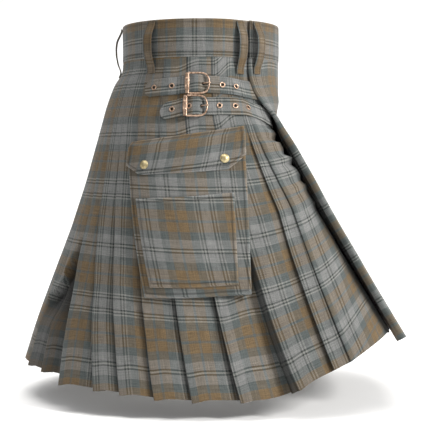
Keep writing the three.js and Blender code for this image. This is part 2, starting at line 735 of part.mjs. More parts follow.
// Strap with a rounded tip, lying on the hip, with a hole at each eyelet and one for the prong
function strapSolid(strap) {
  const first = strap.line[0].angle;
  const tip = strap.line[strap.line.length - 1].angle;
  const buckleAt = strap.buckle.angle;
  const near = { before: 5, after: 6 };
  const spots = [];
  for (let angle = first; angle < buckleAt - near.before - 1; angle += STRAP_STEP_FRONT) spots.push(angle);
  for (let i = -near.before; i <= near.after; i += STRAP_STEP_BUCKLE) spots.push(buckleAt + i);
  const rear = buckleAt + near.after + STRAP_STEP_REAR;
  for (let angle = rear; angle < tip - near.before; angle += STRAP_STEP_REAR) spots.push(angle);
  spots.push(...TIP_STEPS.map((step) => tip - step));
  const grid = (extra) =>
    spots.map((angle) => {
      const run = reading(strap.line, "angle", "run", angle);
      const fromTip = clamp((tip - angle) / TIP_LENGTH, 0, 1);
      const half = (STRAP_WIDTH / 2) * Math.max(TIP_NARROWEST, Math.sqrt(1 - (1 - fromTip) ** 2));
      const lift = strapLift(strap, angle) + extra;
      return [-1, 1].map((side) => body(angle, run - side * half, lift));
    });
  let solid = toSolid(wall(grid(STRAP_THICK), grid(0)));
  const perDegree = alongStrap(strap, buckleAt - 1);
  const holes = [...strap.eyelets, buckleAt - PRONG_HOLE_AT / perDegree];
  for (const angle of holes) {
    const prism = holePrism(strapPlace(strap, angle), EYELET_HOLE);
    solid = solid.subtract(toSolid(prism));
  }
  return toGeometry(solid);
}

// Eyelet: a rolled metal ring seated on the strap's face
function eyelet(strap, angle) {
  const low = STRAP_THICK / 2 + SEAM_GAP;
  const profile = [
    [EYELET_HOLE + EYELET_PLAY, low],
    [EYELET_OUTER, low],
    [EYELET_OUTER - EYELET_SHOULDER, low + 0.6 * EYELET_HEIGHT],
    [EYELET_HOLE + EYELET_LIP, low + EYELET_HEIGHT],
    [EYELET_HOLE + EYELET_PLAY, low],
  ].map(([radius, height]) => new THREE.Vector2(radius, height));
  const place = strapPlace(strap, angle);
  const { round, up, out } = place.axes;
  const ring = new THREE.LatheGeometry(profile, HOLE_SIDES).rotateX(Math.PI / 2);
  ring.applyMatrix4(new THREE.Matrix4().makeBasis(round, up, out).setPosition(place.middle));
  return toGeometry(outward(toSolid(ring), ring));
}

// The same solid facing outwards, whichever way its profile ran
function outward(solid, geometry) {
  if (solid.volume() > 0) return solid;
  const flipped = geometry.clone();
  flipped.setIndex(turnedRound(facesOf(geometry)));
  return toSolid(flipped);
}

// Frame of directions at a buckle, its origin on the body cloth
function buckleFrame(strap) {
  const { angle, run } = strap.buckle;
  const { round, up, out } = directions(angle, run, body);
  return new THREE.Matrix4().makeBasis(round, up, out).setPosition(body(angle, run, 0));
}

// Rod of an even round section along a path of points
function rod(points, radius, closed, steps) {
  const path = new THREE.CatmullRomCurve3(points, closed, "centripetal");
  const shape = new THREE.Shape();
  for (let i = 0; i <= ROD_SIDES; i++) {
    const turn = (i / ROD_SIDES) * 2 * Math.PI;
    const move = i === 0 ? "moveTo" : "lineTo";
    shape[move](Math.cos(turn) * radius, Math.sin(turn) * radius);
  }
  return new THREE.ExtrudeGeometry(shape, { steps, bevelEnabled: false, extrudePath: path });
}

// Buckle: a thin D-shaped frame with a broad flat bar at the rear and a hidden bar across its middle
function buckleFrameSolid(strap) {
  const outline = FRAME_OUTLINE.map((corner) => new THREE.Vector3(corner.s, corner.t, FRAME_HEIGHT));
  const loop = rod(outline, FRAME_ROD, true, 20);
  const half = FRAME_HALF + 0.5;
  const broad = new THREE.BoxGeometry(BROAD_BAR_WIDTH, 2 * half, BROAD_BAR_THICK, 1, 6, 1);
  const position = broad.getAttribute("position");
  for (let i = 0; i < position.count; i++) {
    const end = Math.abs(position.getY(i)) / half;
    position.setX(i, position.getX(i) * (1 - BROAD_BAR_TAPER * end ** 3));
  }
  broad.translate(BROAD_BAR_AT, 0, FRAME_HEIGHT);
  const stub = FRAME_HALF - BAR_END;
  const across = [
    { t: -stub, height: FRAME_HEIGHT },
    { t: -stub + 0.5, height: BAR_HEIGHT + 1 },
    { t: -stub + BAR_BEND, height: BAR_HEIGHT },
    { t: 0, height: BAR_HEIGHT },
    { t: stub - BAR_BEND, height: BAR_HEIGHT },
    { t: stub - 0.5, height: BAR_HEIGHT + 1 },
    { t: stub, height: FRAME_HEIGHT },
  ].map((corner) => new THREE.Vector3(0, corner.t, corner.height));
  const bar = rod(across, BAR_RADIUS, false, 8);
  const pieces = [loop, broad, bar].map((geometry) => outward(toSolid(geometry), geometry));
  const joined = pieces[0].add(pieces[1]).add(pieces[2]);
  return toGeometry(joined).applyMatrix4(buckleFrame(strap));
}

// Prong: from beside the hidden bar, up through the strap's hole, to rest over the frame's front curve
function prong(strap) {
  const path = PRONG_LINE.map((corner) => new THREE.Vector3(corner.s, 0, corner.height));
  const geometry = rod(path, PRONG_ROD, false, 9);
  return toGeometry(outward(toSolid(geometry), geometry)).applyMatrix4(buckleFrame(strap));
}

// Chape: a strip sewn to the body behind the buckle, its end looped round the hidden bar
function chape(strap) {
  const low = CHAPE_LIFT;
  const loop = BAR_RADIUS + SEAM_GAP + CHAPE_THICK;
  const shape = new THREE.Shape();
  shape.moveTo(-CHAPE_LENGTH, low);
  for (let s = -CHAPE_LENGTH + CHAPE_STEP; s <= -2; s += CHAPE_STEP) shape.lineTo(s, low);
  for (let turn = -90; turn <= 210; turn += 30)
    shape.lineTo(loop * Math.cos(turn * DEGREE), BAR_HEIGHT + loop * Math.sin(turn * DEGREE));
  for (let s = -4; s > -CHAPE_LENGTH; s -= CHAPE_STEP) shape.lineTo(s, low + CHAPE_THICK);
  shape.lineTo(-CHAPE_LENGTH, low + CHAPE_THICK);
  const hole = new THREE.Path();
  for (let turn = 0; turn <= 360; turn += 45) {
    const reach = BAR_RADIUS + SEAM_GAP;
    const move = turn === 0 ? "moveTo" : "lineTo";
    hole[move](reach * Math.cos(turn * DEGREE), BAR_HEIGHT + reach * Math.sin(turn * DEGREE));
  }
  shape.holes.push(hole);
  const strip = new THREE.ExtrudeGeometry(shape, { depth: CHAPE_WIDTH, bevelEnabled: false, steps: 1 });
  strip.rotateX(Math.PI / 2).translate(0, CHAPE_WIDTH / 2, 0);
  const slot = new THREE.BoxGeometry(CHAPE_SLOT.width, CHAPE_SLOT.height, CHAPE_SLOT.depth);
  slot.translate(CHAPE_SLOT.at, 0, 0);
  const geometry = toGeometry(toSolid(strip).subtract(toSolid(slot)));
  const position = geometry.getAttribute("position");
  const perDegree = alongStrap(strap, strap.buckle.angle - 1);
  const straight = buckleFrame(strap);
  for (let i = 0; i < position.count; i++) {
    const point = new THREE.Vector3().fromBufferAttribute(position, i);
    const bent = body(strap.buckle.angle - point.x / perDegree, strap.buckle.run - point.y, point.z);
    const share = ease(CHAPE_STRAIGHT.from, CHAPE_STRAIGHT.full, point.x);
    point.applyMatrix4(straight).lerp(bent, 1 - share);
    position.setXYZ(i, point.x, point.y, point.z);
  }
  return geometry;
}

// Angle and run inside a four-cornered panel, across from the rear edge and down from the top
function panelSpot(panel, across, down) {
  const rearAngle = mix(panel.left, panel.leftLow, down);
  const frontAngle = mix(panel.right, panel.rightLow, down);
  const rearRun = mix(panel.leftTop, panel.leftBottom, down);
  const frontRun = mix(panel.rightTop, panel.rightBottom, down);
  return [mix(rearAngle, frontAngle, across), mix(rearRun, frontRun, across)];
}

// Pocket shell: a shallow tray standing off what it is sewn to, open at the top, closed at the other edges
function tray(panel, seat, stand, side) {
  const edge = [seat, mix(seat, stand, TRAY_STEP), stand];
  const lift = (row, column) => {
    const fromSide = Math.min(column, TRAY_ACROSS.length - 1 - column, 2);
    const fromBottom = Math.min(TRAY_DOWN.length - 1 - row, 2);
    return edge[Math.min(fromSide, fromBottom)];
  };
  const grid = (layer, thick) =>
    TRAY_DOWN.map((down, row) =>
      TRAY_ACROSS.map((across, column) => {
        const [angle, run] = panelSpot(panel, across[layer], down[layer]);
        const height = lift(row, column);
        return outer(side * angle, run, height > seat ? height - thick : height);
      }),
    );
  return wall(grid("outside", 0), grid("inside", CLOTH));
}

// Pocket flap: a doubled panel with cut lower corners, seated above the pocket and over its mouth
function flap(side) {
  const grid = (extra) =>
    FLAP_DOWN.map((down) =>
      FLAP_ACROSS.map((across) => {
        const fromSide = Math.min(across, 1 - across);
        const reach = 1 - FLAP_CORNER_CUT * (1 - Math.min(fromSide / FLAP_CORNER, 1));
        const [angle, run] = panelSpot(FLAP, across, down * reach);
        const rising = ease(0, FLAP_RISE, down);
        return outer(side * angle, run, mix(FLAP_SEAT, FLAP_LIFT, rising) + extra);
      }),
    );
  return wall(grid(FLAP_THICK), grid(0));
}

// Snap: a low dome over a rolled rim, seated on the flap
function snap(place, side) {
  const [angle, run] = panelSpot(FLAP, place.across, place.down);
  const profile = SNAP_PROFILE.map((entry) => new THREE.Vector2(entry.radius, entry.height));
  const { round, up, out } = directions(side * angle, run);
  const seat = outer(side * angle, run, FLAP_LIFT + FLAP_THICK + SNAP_SEAT);
  const dome = new THREE.LatheGeometry(profile, SNAP_SIDES).rotateX(Math.PI / 2);
  dome.applyMatrix4(new THREE.Matrix4().makeBasis(round, up, out).setPosition(seat));
  return toGeometry(outward(toSolid(dome), dome));
}

const FINISHES = {
  tartan: { color: 0x77706a, roughness: 0.95, metalness: 0 },
  loop: { color: 0x80664c, roughness: 0.95, metalness: 0 },
  copper: { color: 0x8c6a52, roughness: 0.4, metalness: 1 },
  brass: { color: 0x9a8b5c, roughness: 0.4, metalness: 1 },
};
const kilt = new THREE.Group();

// Adds one named piece to the kilt
function addPiece(name, geometry, finish) {
  const material = new THREE.MeshStandardMaterial(FINISHES[finish]);
  const piece = new THREE.Mesh(geometry, material);
  piece.name = name;
  kilt.add(piece);
}

// The skirt and its waistband
function addSkirt() {
  const bandEnd = LAST_FOLD.sewn - BAND_JOIN;
  const apronStart = LAST_FOLD.sewn + BAND_JOIN;
  const apronEnd = 360 + FREE_EDGE[0].angle;
  addPiece("pleated_skirt", pleatedSkirt(), "tartan");
  addPiece("under_apron", underApron(), "tartan");
  addPiece("over_apron", overApron(), "tartan");
  addPiece("waistband", bandWall(body, UNDER_END_TOP, bandEnd, BAND_COLUMNS), "tartan");
  addPiece("apron_waistband", bandWall(outer, apronStart, apronEnd, APRON_BAND_COLUMNS), "tartan");
}

// The belt loops
function addLoops() {
  for (const loop of LOOPS) {
    const surface = loop.apron ? outer : body;
    addPiece(loop.name, beltLoop(loop.angle, surface), "loop");
  }
}

// A hip strap with its chape, buckle, prong and eyelets
function addStrap(strap) {
  const place = strap.name.replace("strap_", "");
  addPiece(strap.name, strapSolid(strap), "tartan");
  addPiece(`chape_${place}`, chape(strap), "tartan");
  addPiece(`buckle_${place}`, buckleFrameSolid(strap), "copper");
  addPiece(`prong_${place}`, prong(strap), "copper");
  strap.eyelets.forEach((angle, i) => {
    addPiece(`eyelet_${place}_${i + 1}`, eyelet(strap, angle), "copper");
  });
}

// A cargo pocket with its patch, flap and snaps; side is 1 on the wearer's right and -1 on the left
function addPocket(place, side) {
  addPiece(`pocket_${place}`, tray(BAG, SEAM_GAP, BAG_STAND, side), "tartan");
  addPiece(`pocket_patch_${place}`, tray(PATCH, BAG_STAND + SEAM_GAP, PATCH_STAND, side), "tartan");
  addPiece(`pocket_flap_${place}`, flap(side), "tartan");
  for (const entry of SNAPS) {
    addPiece(`snap_${entry.name}_${place}`, snap(entry, side), "brass");
  }
}

addSkirt();
addLoops();
STRAPS.forEach(addStrap);
addPocket("right", 1);
addPocket("left", -1);

export default kilt;
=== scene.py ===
"""Utility kilt in its worn, hollow form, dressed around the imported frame.

Lengths in the classes are millimetres; meshes are written in metres. Angles are degrees round the waist from
the front, growing over the wearer's right side to the back, and a run is a length of cloth down from the top
edge of the waistband.
"""

import logging
import math
from dataclasses import dataclass, field
from enum import Enum
from typing import Callable, Sequence

import bmesh
import bpy
import numpy as np
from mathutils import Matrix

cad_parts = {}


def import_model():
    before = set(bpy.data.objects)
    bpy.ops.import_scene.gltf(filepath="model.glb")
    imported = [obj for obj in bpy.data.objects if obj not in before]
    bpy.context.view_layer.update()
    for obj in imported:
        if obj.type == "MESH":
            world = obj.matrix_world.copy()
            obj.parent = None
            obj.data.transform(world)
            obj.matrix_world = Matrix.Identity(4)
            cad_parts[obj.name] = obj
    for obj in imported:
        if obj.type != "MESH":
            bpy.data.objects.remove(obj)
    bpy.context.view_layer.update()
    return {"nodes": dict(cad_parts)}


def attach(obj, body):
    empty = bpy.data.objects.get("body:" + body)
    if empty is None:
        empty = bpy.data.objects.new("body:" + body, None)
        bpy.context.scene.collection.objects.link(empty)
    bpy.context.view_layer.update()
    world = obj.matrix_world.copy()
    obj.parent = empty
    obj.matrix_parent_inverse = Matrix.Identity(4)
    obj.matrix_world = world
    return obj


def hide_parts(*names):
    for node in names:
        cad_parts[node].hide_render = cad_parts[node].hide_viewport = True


Array = np.ndarray
Surface = Callable[[Array, Array, Array], Array]

METRE = 0.001
THREAD = 0.637
HEM_RUN = 615.0
BAND_HEIGHT = 62.0
TOP_OF_BAND = 31.0
SEWN_RUN = 165.0
HALF_RUN = 330.0

log = logging.getLogger("kilt")


def ease(low: float, high: float, value: Array) -> Array:
    """Share that eases from 0 at low to 1 at high, 3 t squared less 2 t cubed.

    Args:
        low: Value where the share is 0.
        high: Value where the share is 1.
        value: Where it is read.

    Returns:
        The share at each value.
    """
    share = np.clip((np.asarray(value, float) - low) / (high - low), 0.0, 1.0)
    return share * share * (3.0 - 2.0 * share)


def mix(first: Array, second: Array, share: Array) -> Array:
    """Straight blend from first to second.

    Args:
        first: Value at share 0.
        second: Value at share 1.
        share: Part of the way.

    Returns:
        first plus share times the difference.
    """
    return first + (second - first) * share


def unit(vectors: Array) -> Array:
    """Vectors scaled to length one.

    Args:
        vectors: Array whose last axis is x, y, z.

    Returns:
        Array of the same shape.
    """
    return vectors / np.maximum(np.linalg.norm(vectors, axis=-1, keepdims=True), 1e-9)


def seam_shade_and_highlight(distance: Array, row: float) -> Array:
    """Painted shade and highlight near a topstitched edge: darker in the stitched groove as painted shade, lighter on
    the edge, partly wear and partly a painted highlight, each by a bell.

    Args:
        distance: Millimetres in from the edge.
        row: Distance of the stitches from the edge.

    Returns:
        Share of painted shade, below 0 where the edge is lightened.
    """
    groove = 0.8 * np.exp(-(((distance - row) / 1.25) ** 2))
    return groove - 0.55 * np.exp(-((distance / 2.6) ** 2))


class Form:
    """Outer form of the worn kilt: a ring at each run, between an ellipse and a rounded box at the front."""

    COLUMNS = ("run", "drop", "side", "back", "front", "square", "rise_front", "rise_back")
    ROWS = np.array([
        (0, 0, 155, 135, 135, 2.0, 0, 0),
        (62, 62, 155, 135, 135, 2.0, 0, 0),
        (80, 80, 155.5, 137, 135, 2.0, 0, 0),
        (100, 99.8, 158, 149, 135, 2.1, 0, 0),
        (133, 132, 165, 162, 135, 2.5, 0, 0),
        (175, 173, 175, 173.5, 137, 3.2, 3, 1),
        (230, 226, 188, 188, 162, 3.3, 12, 3),
        (286, 280, 202, 203, 190, 3.2, 22, 4),
        (360, 352, 220, 225.5, 226, 3.1, 35, 6),
        (450, 439, 243, 255, 271, 3.0, 50, 8),
        (530, 516.5, 263, 284, 311, 3.0, 62, 10),
        (615, 599, 285, 309, 352, 3.0, 76, 12),
    ], dtype=float)

    def __init__(self) -> None:
        """Works out the slope of every column at every row, each from its two neighbours."""
        runs = self.ROWS[:, 0]
        self.slopes = np.gradient(self.ROWS, runs, axis=0)

    def read(self, column: str, run: Array) -> Array:
        """Smooth reading of one column: a cubic between rows that keeps each row's slope.

        Args:
            column: Name of the column.
            run: Cloth length down from the top edge.

        Returns:
            The column's value at each run.
        """
        which = self.COLUMNS.index(column)
        runs, values, slopes = self.ROWS[:, 0], self.ROWS[:, which], self.slopes[:, which]
        low = np.clip(np.searchsorted(runs, run, side="right") - 1, 0, len(runs) - 2)
        width = runs[low + 1] - runs[low]
        t = (run - runs[low]) / width
        start = (2 * t**3 - 3 * t**2 + 1) * values[low] + (t**3 - 2 * t**2 + t) * width * slopes[low]
        return start + (3 * t**2 - 2 * t**3) * values[low + 1] + (t**3 - t**2) * width * slopes[low + 1]

    def ring(self, angle: Array, run: Array) -> Array:
        """Point of the form: radius is the inverse power mean of its forward and sideways reaches.

        Args:
            angle: Degrees round from the front.
            run: Cloth length down from the top edge.

        Returns:
            Points, x, y, z last.
        """
        angle, run = np.broadcast_arrays(np.asarray(angle, float), np.asarray(run, float))
        forward, sideways = np.cos(np.radians(angle)), np.sin(np.radians(angle))
        reach = np.where(forward > 0, self.read("front", run), self.read("back", run))
        power = 2 + (self.read("square", run) - 2) * ease(0, 0.5, forward)
        total = np.abs(forward / reach) ** power + np.abs(sideways / self.read("side", run)) ** power
        radius = total ** (-1 / power)
        lift = self.read("rise_front", run) * ease(0.3, 0.9, forward)
        lift = lift + self.read("rise_back", run) * ease(0, 0.7, -forward)
        return np.stack([-radius * sideways, -radius * forward, TOP_OF_BAND - self.read("drop", run) + lift], -1)

    def outward(self, angle: Array, run: Array) -> Array:
        """Outward direction of the form, across its round and its upward directions.

        Args:
            angle: Degrees round from the front.
            run: Cloth length down from the top edge.

        Returns:
            Unit vectors.
        """
        around = self.ring(angle - 0.5, run) - self.ring(angle + 0.5, run)
        upward = self.ring(angle, run - 2) - self.ring(angle, run + 2)
        return unit(np.cross(around, upward))

    def outer(self, angle: Array, run: Array, lift: Array) -> Array:
        """Point moved out from the form by lift.

        Args:
            angle: Degrees round from the front.
            run: Cloth length down from the top edge.
            lift: Distance out.

        Returns:
            Points.
        """
        angle, run, lift = np.broadcast_arrays(*(np.asarray(v, float) for v in (angle, run, lift)))
        return self.ring(angle, run) + self.outward(angle, run) * lift[..., None]

    def per_degree(self, angle: Array, run: Array) -> Array:
        """Millimetres along the ring for one degree.

        Args:
            angle: Degrees round from the front.
            run: Cloth length down from the top edge.

        Returns:
            Lengths.
        """
        return np.linalg.norm(self.ring(angle - 0.5, run) - self.ring(angle + 0.5, run), axis=-1)


@dataclass(frozen=True)
class Wrap:
    """How the aprons wrap: the free edge's angle, and how far the cloth below it sits inside the form."""

    form: Form
    edge_runs: tuple[float, ...] = (0, 95, 118, 140, 165, 615)
    edge_angles: tuple[float, ...] = (56, 56, 54, 50.5, 44.6, 31)
    inset_runs: tuple[float, ...] = (0, 62, 100, 165, 300, 450, 615)
    inset_depths: tuple[float, ...] = (6, 6.4, 8, 10, 10, 6, 5)
    start_top: float = 2.0
    start_low: float = -10.0
    shift: tuple[float, float] = (165.0, 260.0)
    spread: float = 18.0
    rise: float = 21.0
    rise_start: float = 430.0
    rise_angles: tuple[float, float] = (46.5, 31.0)
    under_top: float = -48.0
    under_hem: float = -38.0
    flare_runs: tuple[float, ...] = (120, 140, 180, 230, 300, 450, 615)
    flare_depths: tuple[float, ...] = (0, 4, 12, 17, 20, 23, 20.5)
    tuck_runs: tuple[float, ...] = (130, 180, 230, 300, 615)
    tuck_depths: tuple[float, ...] = (0, 6, 10, 14, 16)
    flare_spread: float = 12.0
    fade: tuple[float, float] = (40.0, 75.0)

    def edge(self, run: Array) -> Array:
        """Angle of the over-apron's free edge at each run."""
        return np.interp(run, self.edge_runs, self.edge_angles)

    def under_end(self, run: Array) -> Array:
        """Angle of the under-apron's left end at each run."""
        return mix(self.under_top, self.under_hem, np.asarray(run) / HEM_RUN)

    def before_edge(self, angle: Array, run: Array) -> Array:
        """Degrees from the free edge back across the front, counted on round the far side."""
        return self.edge(run) - np.where(angle > 180, angle - 360, angle)

    def tuck(self, angle: Array, run: Array) -> Array:
        """How far the front is drawn in: nothing at the free edge, full across the front, nothing at the hip."""
        away = self.before_edge(angle, run)
        share = ease(0, self.flare_spread, away) - ease(*self.fade, away)
        return np.interp(run, self.tuck_runs, self.tuck_depths) * share

    def apron(self, angle: Array, run: Array, lift: Array) -> Array:
        """Point moved out from the over-apron's line, which is tucked in and flares out at its free edge.

        Args:
            angle: Degrees round from the front.
            run: Cloth length down from the top edge.
            lift: Distance out.

        Returns:
            Points.
        """
        angle, run, lift = np.broadcast_arrays(*(np.asarray(v, float) for v in (angle, run, lift)))
        share = 1 - ease(0, self.flare_spread, self.before_edge(angle, run))
        flare = np.interp(run, self.flare_runs, self.flare_depths) * share
        return self.form.outer(angle, run, lift + flare - self.tuck(angle, run))

    def body(self, angle: Array, run: Array, lift: Array) -> Array:
        """Point moved out from the body cloth, which sits inside the form under the over-apron.

        Args:
            angle: Degrees round from the front.
            run: Cloth length down from the top edge.
            lift: Distance out.

        Returns:
            Points.
        """
        angle, run, lift = np.broadcast_arrays(*(np.asarray(v, float) for v in (angle, run, lift)))
        pulled = np.clip((self.rise_angles[0] - angle) / (self.rise_angles[0] - self.rise_angles[1]), 0, 1)
        run = run - self.rise * pulled * ease(self.rise_start, HEM_RUN, run)
        edge = self.edge(run) + mix(self.start_top, self.start_low, ease(*self.shift, run))
        share = np.clip((angle - edge) / self.spread, 0, 1)
        inset = np.interp(run, self.inset_runs, self.inset_depths) * (1 - share * share * (3 - 2 * share))
        return self.form.outer(angle, run, lift - inset - self.tuck(angle, run))


def surface_directions(surface: Surface, angle: float, run: float) -> Array:
    """Directions on a surface at one place: towards the front of the wearer's right, up, and out.

    Args:
        surface: Function of angle, run and lift.
        angle: Degrees round from the front.
        run: Cloth length down from the top edge.

    Returns:
        Three unit vectors as rows.
    """
    around = surface(angle - 0.5, run, 0.0) - surface(angle + 0.5, run, 0.0)
    upward = surface(angle, run - 2, 0.0) - surface(angle, run + 2, 0.0)
    around, upward = unit(around), unit(upward)
    return np.stack([around, upward, unit(np.cross(around, upward))])


class Loom:
    """Turns grids of points into closed meshes with cloth coordinates in millimetres."""

    @staticmethod
    def write(name: str, points: Array, faces: list[Array], cloth: Array | None, crease: float = 40.0,
              painted_shade: Array | None = None) -> bpy.types.Object:
        """Writes points and faces into a new object at the origin.

        Args:
            name: Name of the piece.
            points: Vertices in millimetres.
            faces: Arrays of vertex numbers, each with its own number of corners.
            cloth: Cloth coordinates of each vertex in millimetres, or None.
            crease: Angle in degrees above which an edge is sharp.
            painted_shade: Painted shade of each vertex, mostly 0 to 1, below 0 for a painted highlight, or None.

        Returns:
            The object.
        """
        mesh = bpy.data.meshes.new(name)
        mesh.from_pydata((points * METRE).tolist(), [], [row for block in faces for row in block.tolist()])
        if cloth is not None:
            layer = mesh.uv_layers.new(name="Cloth")
            corner = np.empty(len(mesh.loops), dtype=np.int32)
            mesh.loops.foreach_get("vertex_index", corner)
            layer.data.foreach_set("uv", (cloth[corner] * METRE).astype(np.float32).ravel())
        if painted_shade is not None:
            # Painted shade kept on the mesh as a value, read by the cloth's material
            layer = mesh.attributes.new("PaintedShade", "FLOAT", "POINT")
            layer.data.foreach_set("value", painted_shade.astype(np.float32))
        mesh.shade_smooth()
        mesh.set_sharp_from_angle(angle=math.radians(crease))
        mesh.update()
        piece = bpy.data.objects.new(name, mesh)
        bpy.context.scene.collection.objects.link(piece)
        return piece

    @staticmethod
    def read(items: bpy.types.bpy_prop_collection, name: str, width: int) -> Array:
        """Reads one property of every item into an array.

        Args:
            items: Vertices, loops or coordinates.
            name: Name of the property.
            width: Numbers in one item.

        Returns:
            Items by width.
        """
        values = np.empty(len(items) * width, dtype=np.int32 if name == "vertex_index" else np.float32)
        items.foreach_get(name, values)
        return values.reshape(-1, width)

    @staticmethod
    def grid_faces(rows: int, columns: int, first: int = 0, closed: bool = False) -> Array:
        """Quads of a grid whose points are numbered row by row.

        Args:
            rows: Number of rows.
            columns: Number of columns.
            first: Number of the grid's first point.
            closed: Whether the last column meets the first.

        Returns:
            One quad a row.
        """
        number = np.arange(rows * columns).reshape(rows, columns) + first
        if closed:
            number = np.concatenate([number, number[:, :1]], axis=1)
        corners = (number[:-1, :-1], number[1:, :-1], number[1:, 1:], number[:-1, 1:])
        return np.stack(corners, -1).reshape(-1, 4)

    @classmethod
    def shell(cls, name: str, outside: Array, inside: Array, cloth: Array, crease: float = 40.0,
              painted_shade: Array | None = None) -> bpy.types.Object:
        """Closed wall between two grids of points of the same shape.

        Args:
            name: Name of the piece.
            outside: Outer points, rows by columns by 3.
            inside: Inner points, the same shape.
            cloth: Cloth coordinates, rows by columns by 2.
            crease: Angle in degrees above which an edge is sharp.
            painted_shade: Painted shade at each place, mostly 0 to 1, below 0 for a painted highlight, or None.

        Returns:
            The object, facing outwards.
        """
        rows, columns = outside.shape[:2]
        total = rows * columns
        number = np.arange(total).reshape(rows, columns)
        outer_faces = cls.grid_faces(rows, columns)
        around = np.concatenate([number[0, :-1], number[:-1, -1], number[-1, :0:-1], number[:0:-1, 0]])
        following = np.roll(around, -1)
        rim = np.stack([around, following, following + total, around + total], -1)
        faces = np.concatenate([outer_faces, outer_faces[:, ::-1] + total, rim])
        points = np.concatenate([outside.reshape(-1, 3), inside.reshape(-1, 3)])
        a, b, c, d = (points[faces[:, i]] for i in range(4))
        volume = np.einsum("ij,ij->", a, np.cross(b, c)) + np.einsum("ij,ij->", a, np.cross(c, d))
        if volume < 0:
            faces = faces[:, ::-1]
        flat = cloth.reshape(-1, 2)
        both = None if painted_shade is None else np.tile(painted_shade.ravel(), 2)
        return cls.write(name, points, [faces], np.concatenate([flat, flat]), crease, both)

    @classmethod
    def sheet(cls, name: str, middle: Array, thick: float, cloth: Array, crease: float = 40.0,
              painted_shade: Array | None = None) -> bpy.types.Object:
        """Wall of even thickness on both sides of a middle grid, offset along the grid's own normals.

        Args:
            name: Name of the piece.
            middle: Middle points, rows by columns by 3.
            thick: Thickness of the cloth.
            cloth: Cloth coordinates, rows by columns by 2.
            crease: Angle in degrees above which an edge is sharp.
            painted_shade: Painted shade at each place, mostly 0 to 1, below 0 for a painted highlight, or None.

        Returns:
            The object.
        """
        normal = unit(np.cross(np.gradient(middle, axis=1), np.gradient(middle, axis=0)))
        return cls.shell(name, middle + normal * thick / 2, middle - normal * thick / 2, cloth, crease, painted_shade)

    @classmethod
    def rod(cls, path: Array, radius: Array, sides: int, closed: bool) -> tuple[Array, list[Array]]:
        """Tube along a path, its section a circle across the path's direction.

        Args:
            path: Points along the middle.
            radius: Radius at each point.
            sides: Corners of the section.
            closed: Whether the path meets itself.

        Returns:
            Points and faces.
        """
        if closed:
            ahead = np.roll(path, -1, axis=0) - np.roll(path, 1, axis=0)
        else:
            ahead = np.gradient(path, axis=0)
        ahead = unit(ahead)
        across = unit(np.cross(ahead, np.array([0.0, 0.0, 1.0]) + 1e-6))
        over = np.cross(ahead, across)
        turn = np.arange(sides) / sides * 2 * math.pi
        ring = np.cos(turn)[None, :, None] * across[:, None] + np.sin(turn)[None, :, None] * over[:, None]
        points = (path[:, None] + ring * np.broadcast_to(radius, len(path))[:, None, None]).reshape(-1, 3)
        number = np.arange(len(path) * sides).reshape(len(path), sides)
        if closed:
            number = np.concatenate([number, number[:1]])
        number = np.concatenate([number, number[:, :1]], axis=1)
        corners = (number[:-1, :-1], number[:-1, 1:], number[1:, 1:], number[1:, :-1])
        faces = [np.stack(corners, -1).reshape(-1, 4)]
        if not closed:
            faces += [number[0:1, :-1][:, ::-1], number[-1:, :-1]]
        return points, faces

    @classmethod
    def turned(cls, profile: Array, sides: int) -> tuple[Array, list[Array]]:
        """Solid of revolution about z from radius and height pairs; closed where its ends meet or reach the axis.

        Args:
            profile: Radius and height of each point, in order.
            sides: Steps round the axis.

        Returns:
            Points and faces.
        """
        turn = np.arange(sides) / sides * 2 * math.pi
        radius, height = profile[:, 0][:, None], profile[:, 1][:, None]
        points = np.stack([radius * np.cos(turn), radius * np.sin(turn), height + 0 * turn], -1).reshape(-1, 3)
        faces = cls.grid_faces(len(profile), sides, closed=True)
        return points, [faces]


@dataclass(frozen=True)
class Sett:
    """The tartan's half repeat, in threads from one pivot to the other, and the yarn colours."""

    counts: tuple[tuple[str, int], ...] = (
        ("light", 2), ("dark", 4), ("grey", 22), ("slate", 20), ("brown", 24), ("slate", 6), ("brown", 24),
        ("slate", 20), ("light", 4), ("dark", 4), ("light", 4), ("dark", 4), ("grey", 12),
    )
    grey: tuple[float, float, float] = (0.164, 0.166, 0.162)
    slate: tuple[float, float, float] = (0.073, 0.084, 0.082)
    brown: tuple[float, float, float] = (0.128, 0.088, 0.047)
    light: tuple[float, float, float] = (0.200, 0.202, 0.188)
    faded: tuple[float, float, float] = (0.166, 0.168, 0.158)
    dark: tuple[float, float, float] = (0.034, 0.039, 0.037)

    @property
    def half(self) -> int:
        """Threads in half a repeat."""
        return sum(count for _, count in self.counts)

    def stops(self, light: tuple[float, float, float]) -> list[tuple[float, tuple[float, float, float]]]:
        """Start of each stripe as a share of the half repeat, with its colour.

        Args:
            light: Colour of the light yarn.

        Returns:
            Positions and colours.
        """
        starts = np.cumsum([0] + [count for _, count in self.counts[:-1]]) / self.half
        colours = {"grey": self.grey, "slate": self.slate, "brown": self.brown, "light": light, "dark": self.dark}
        return [(float(start), colours[name]) for start, (name, _) in zip(starts, self.counts)]


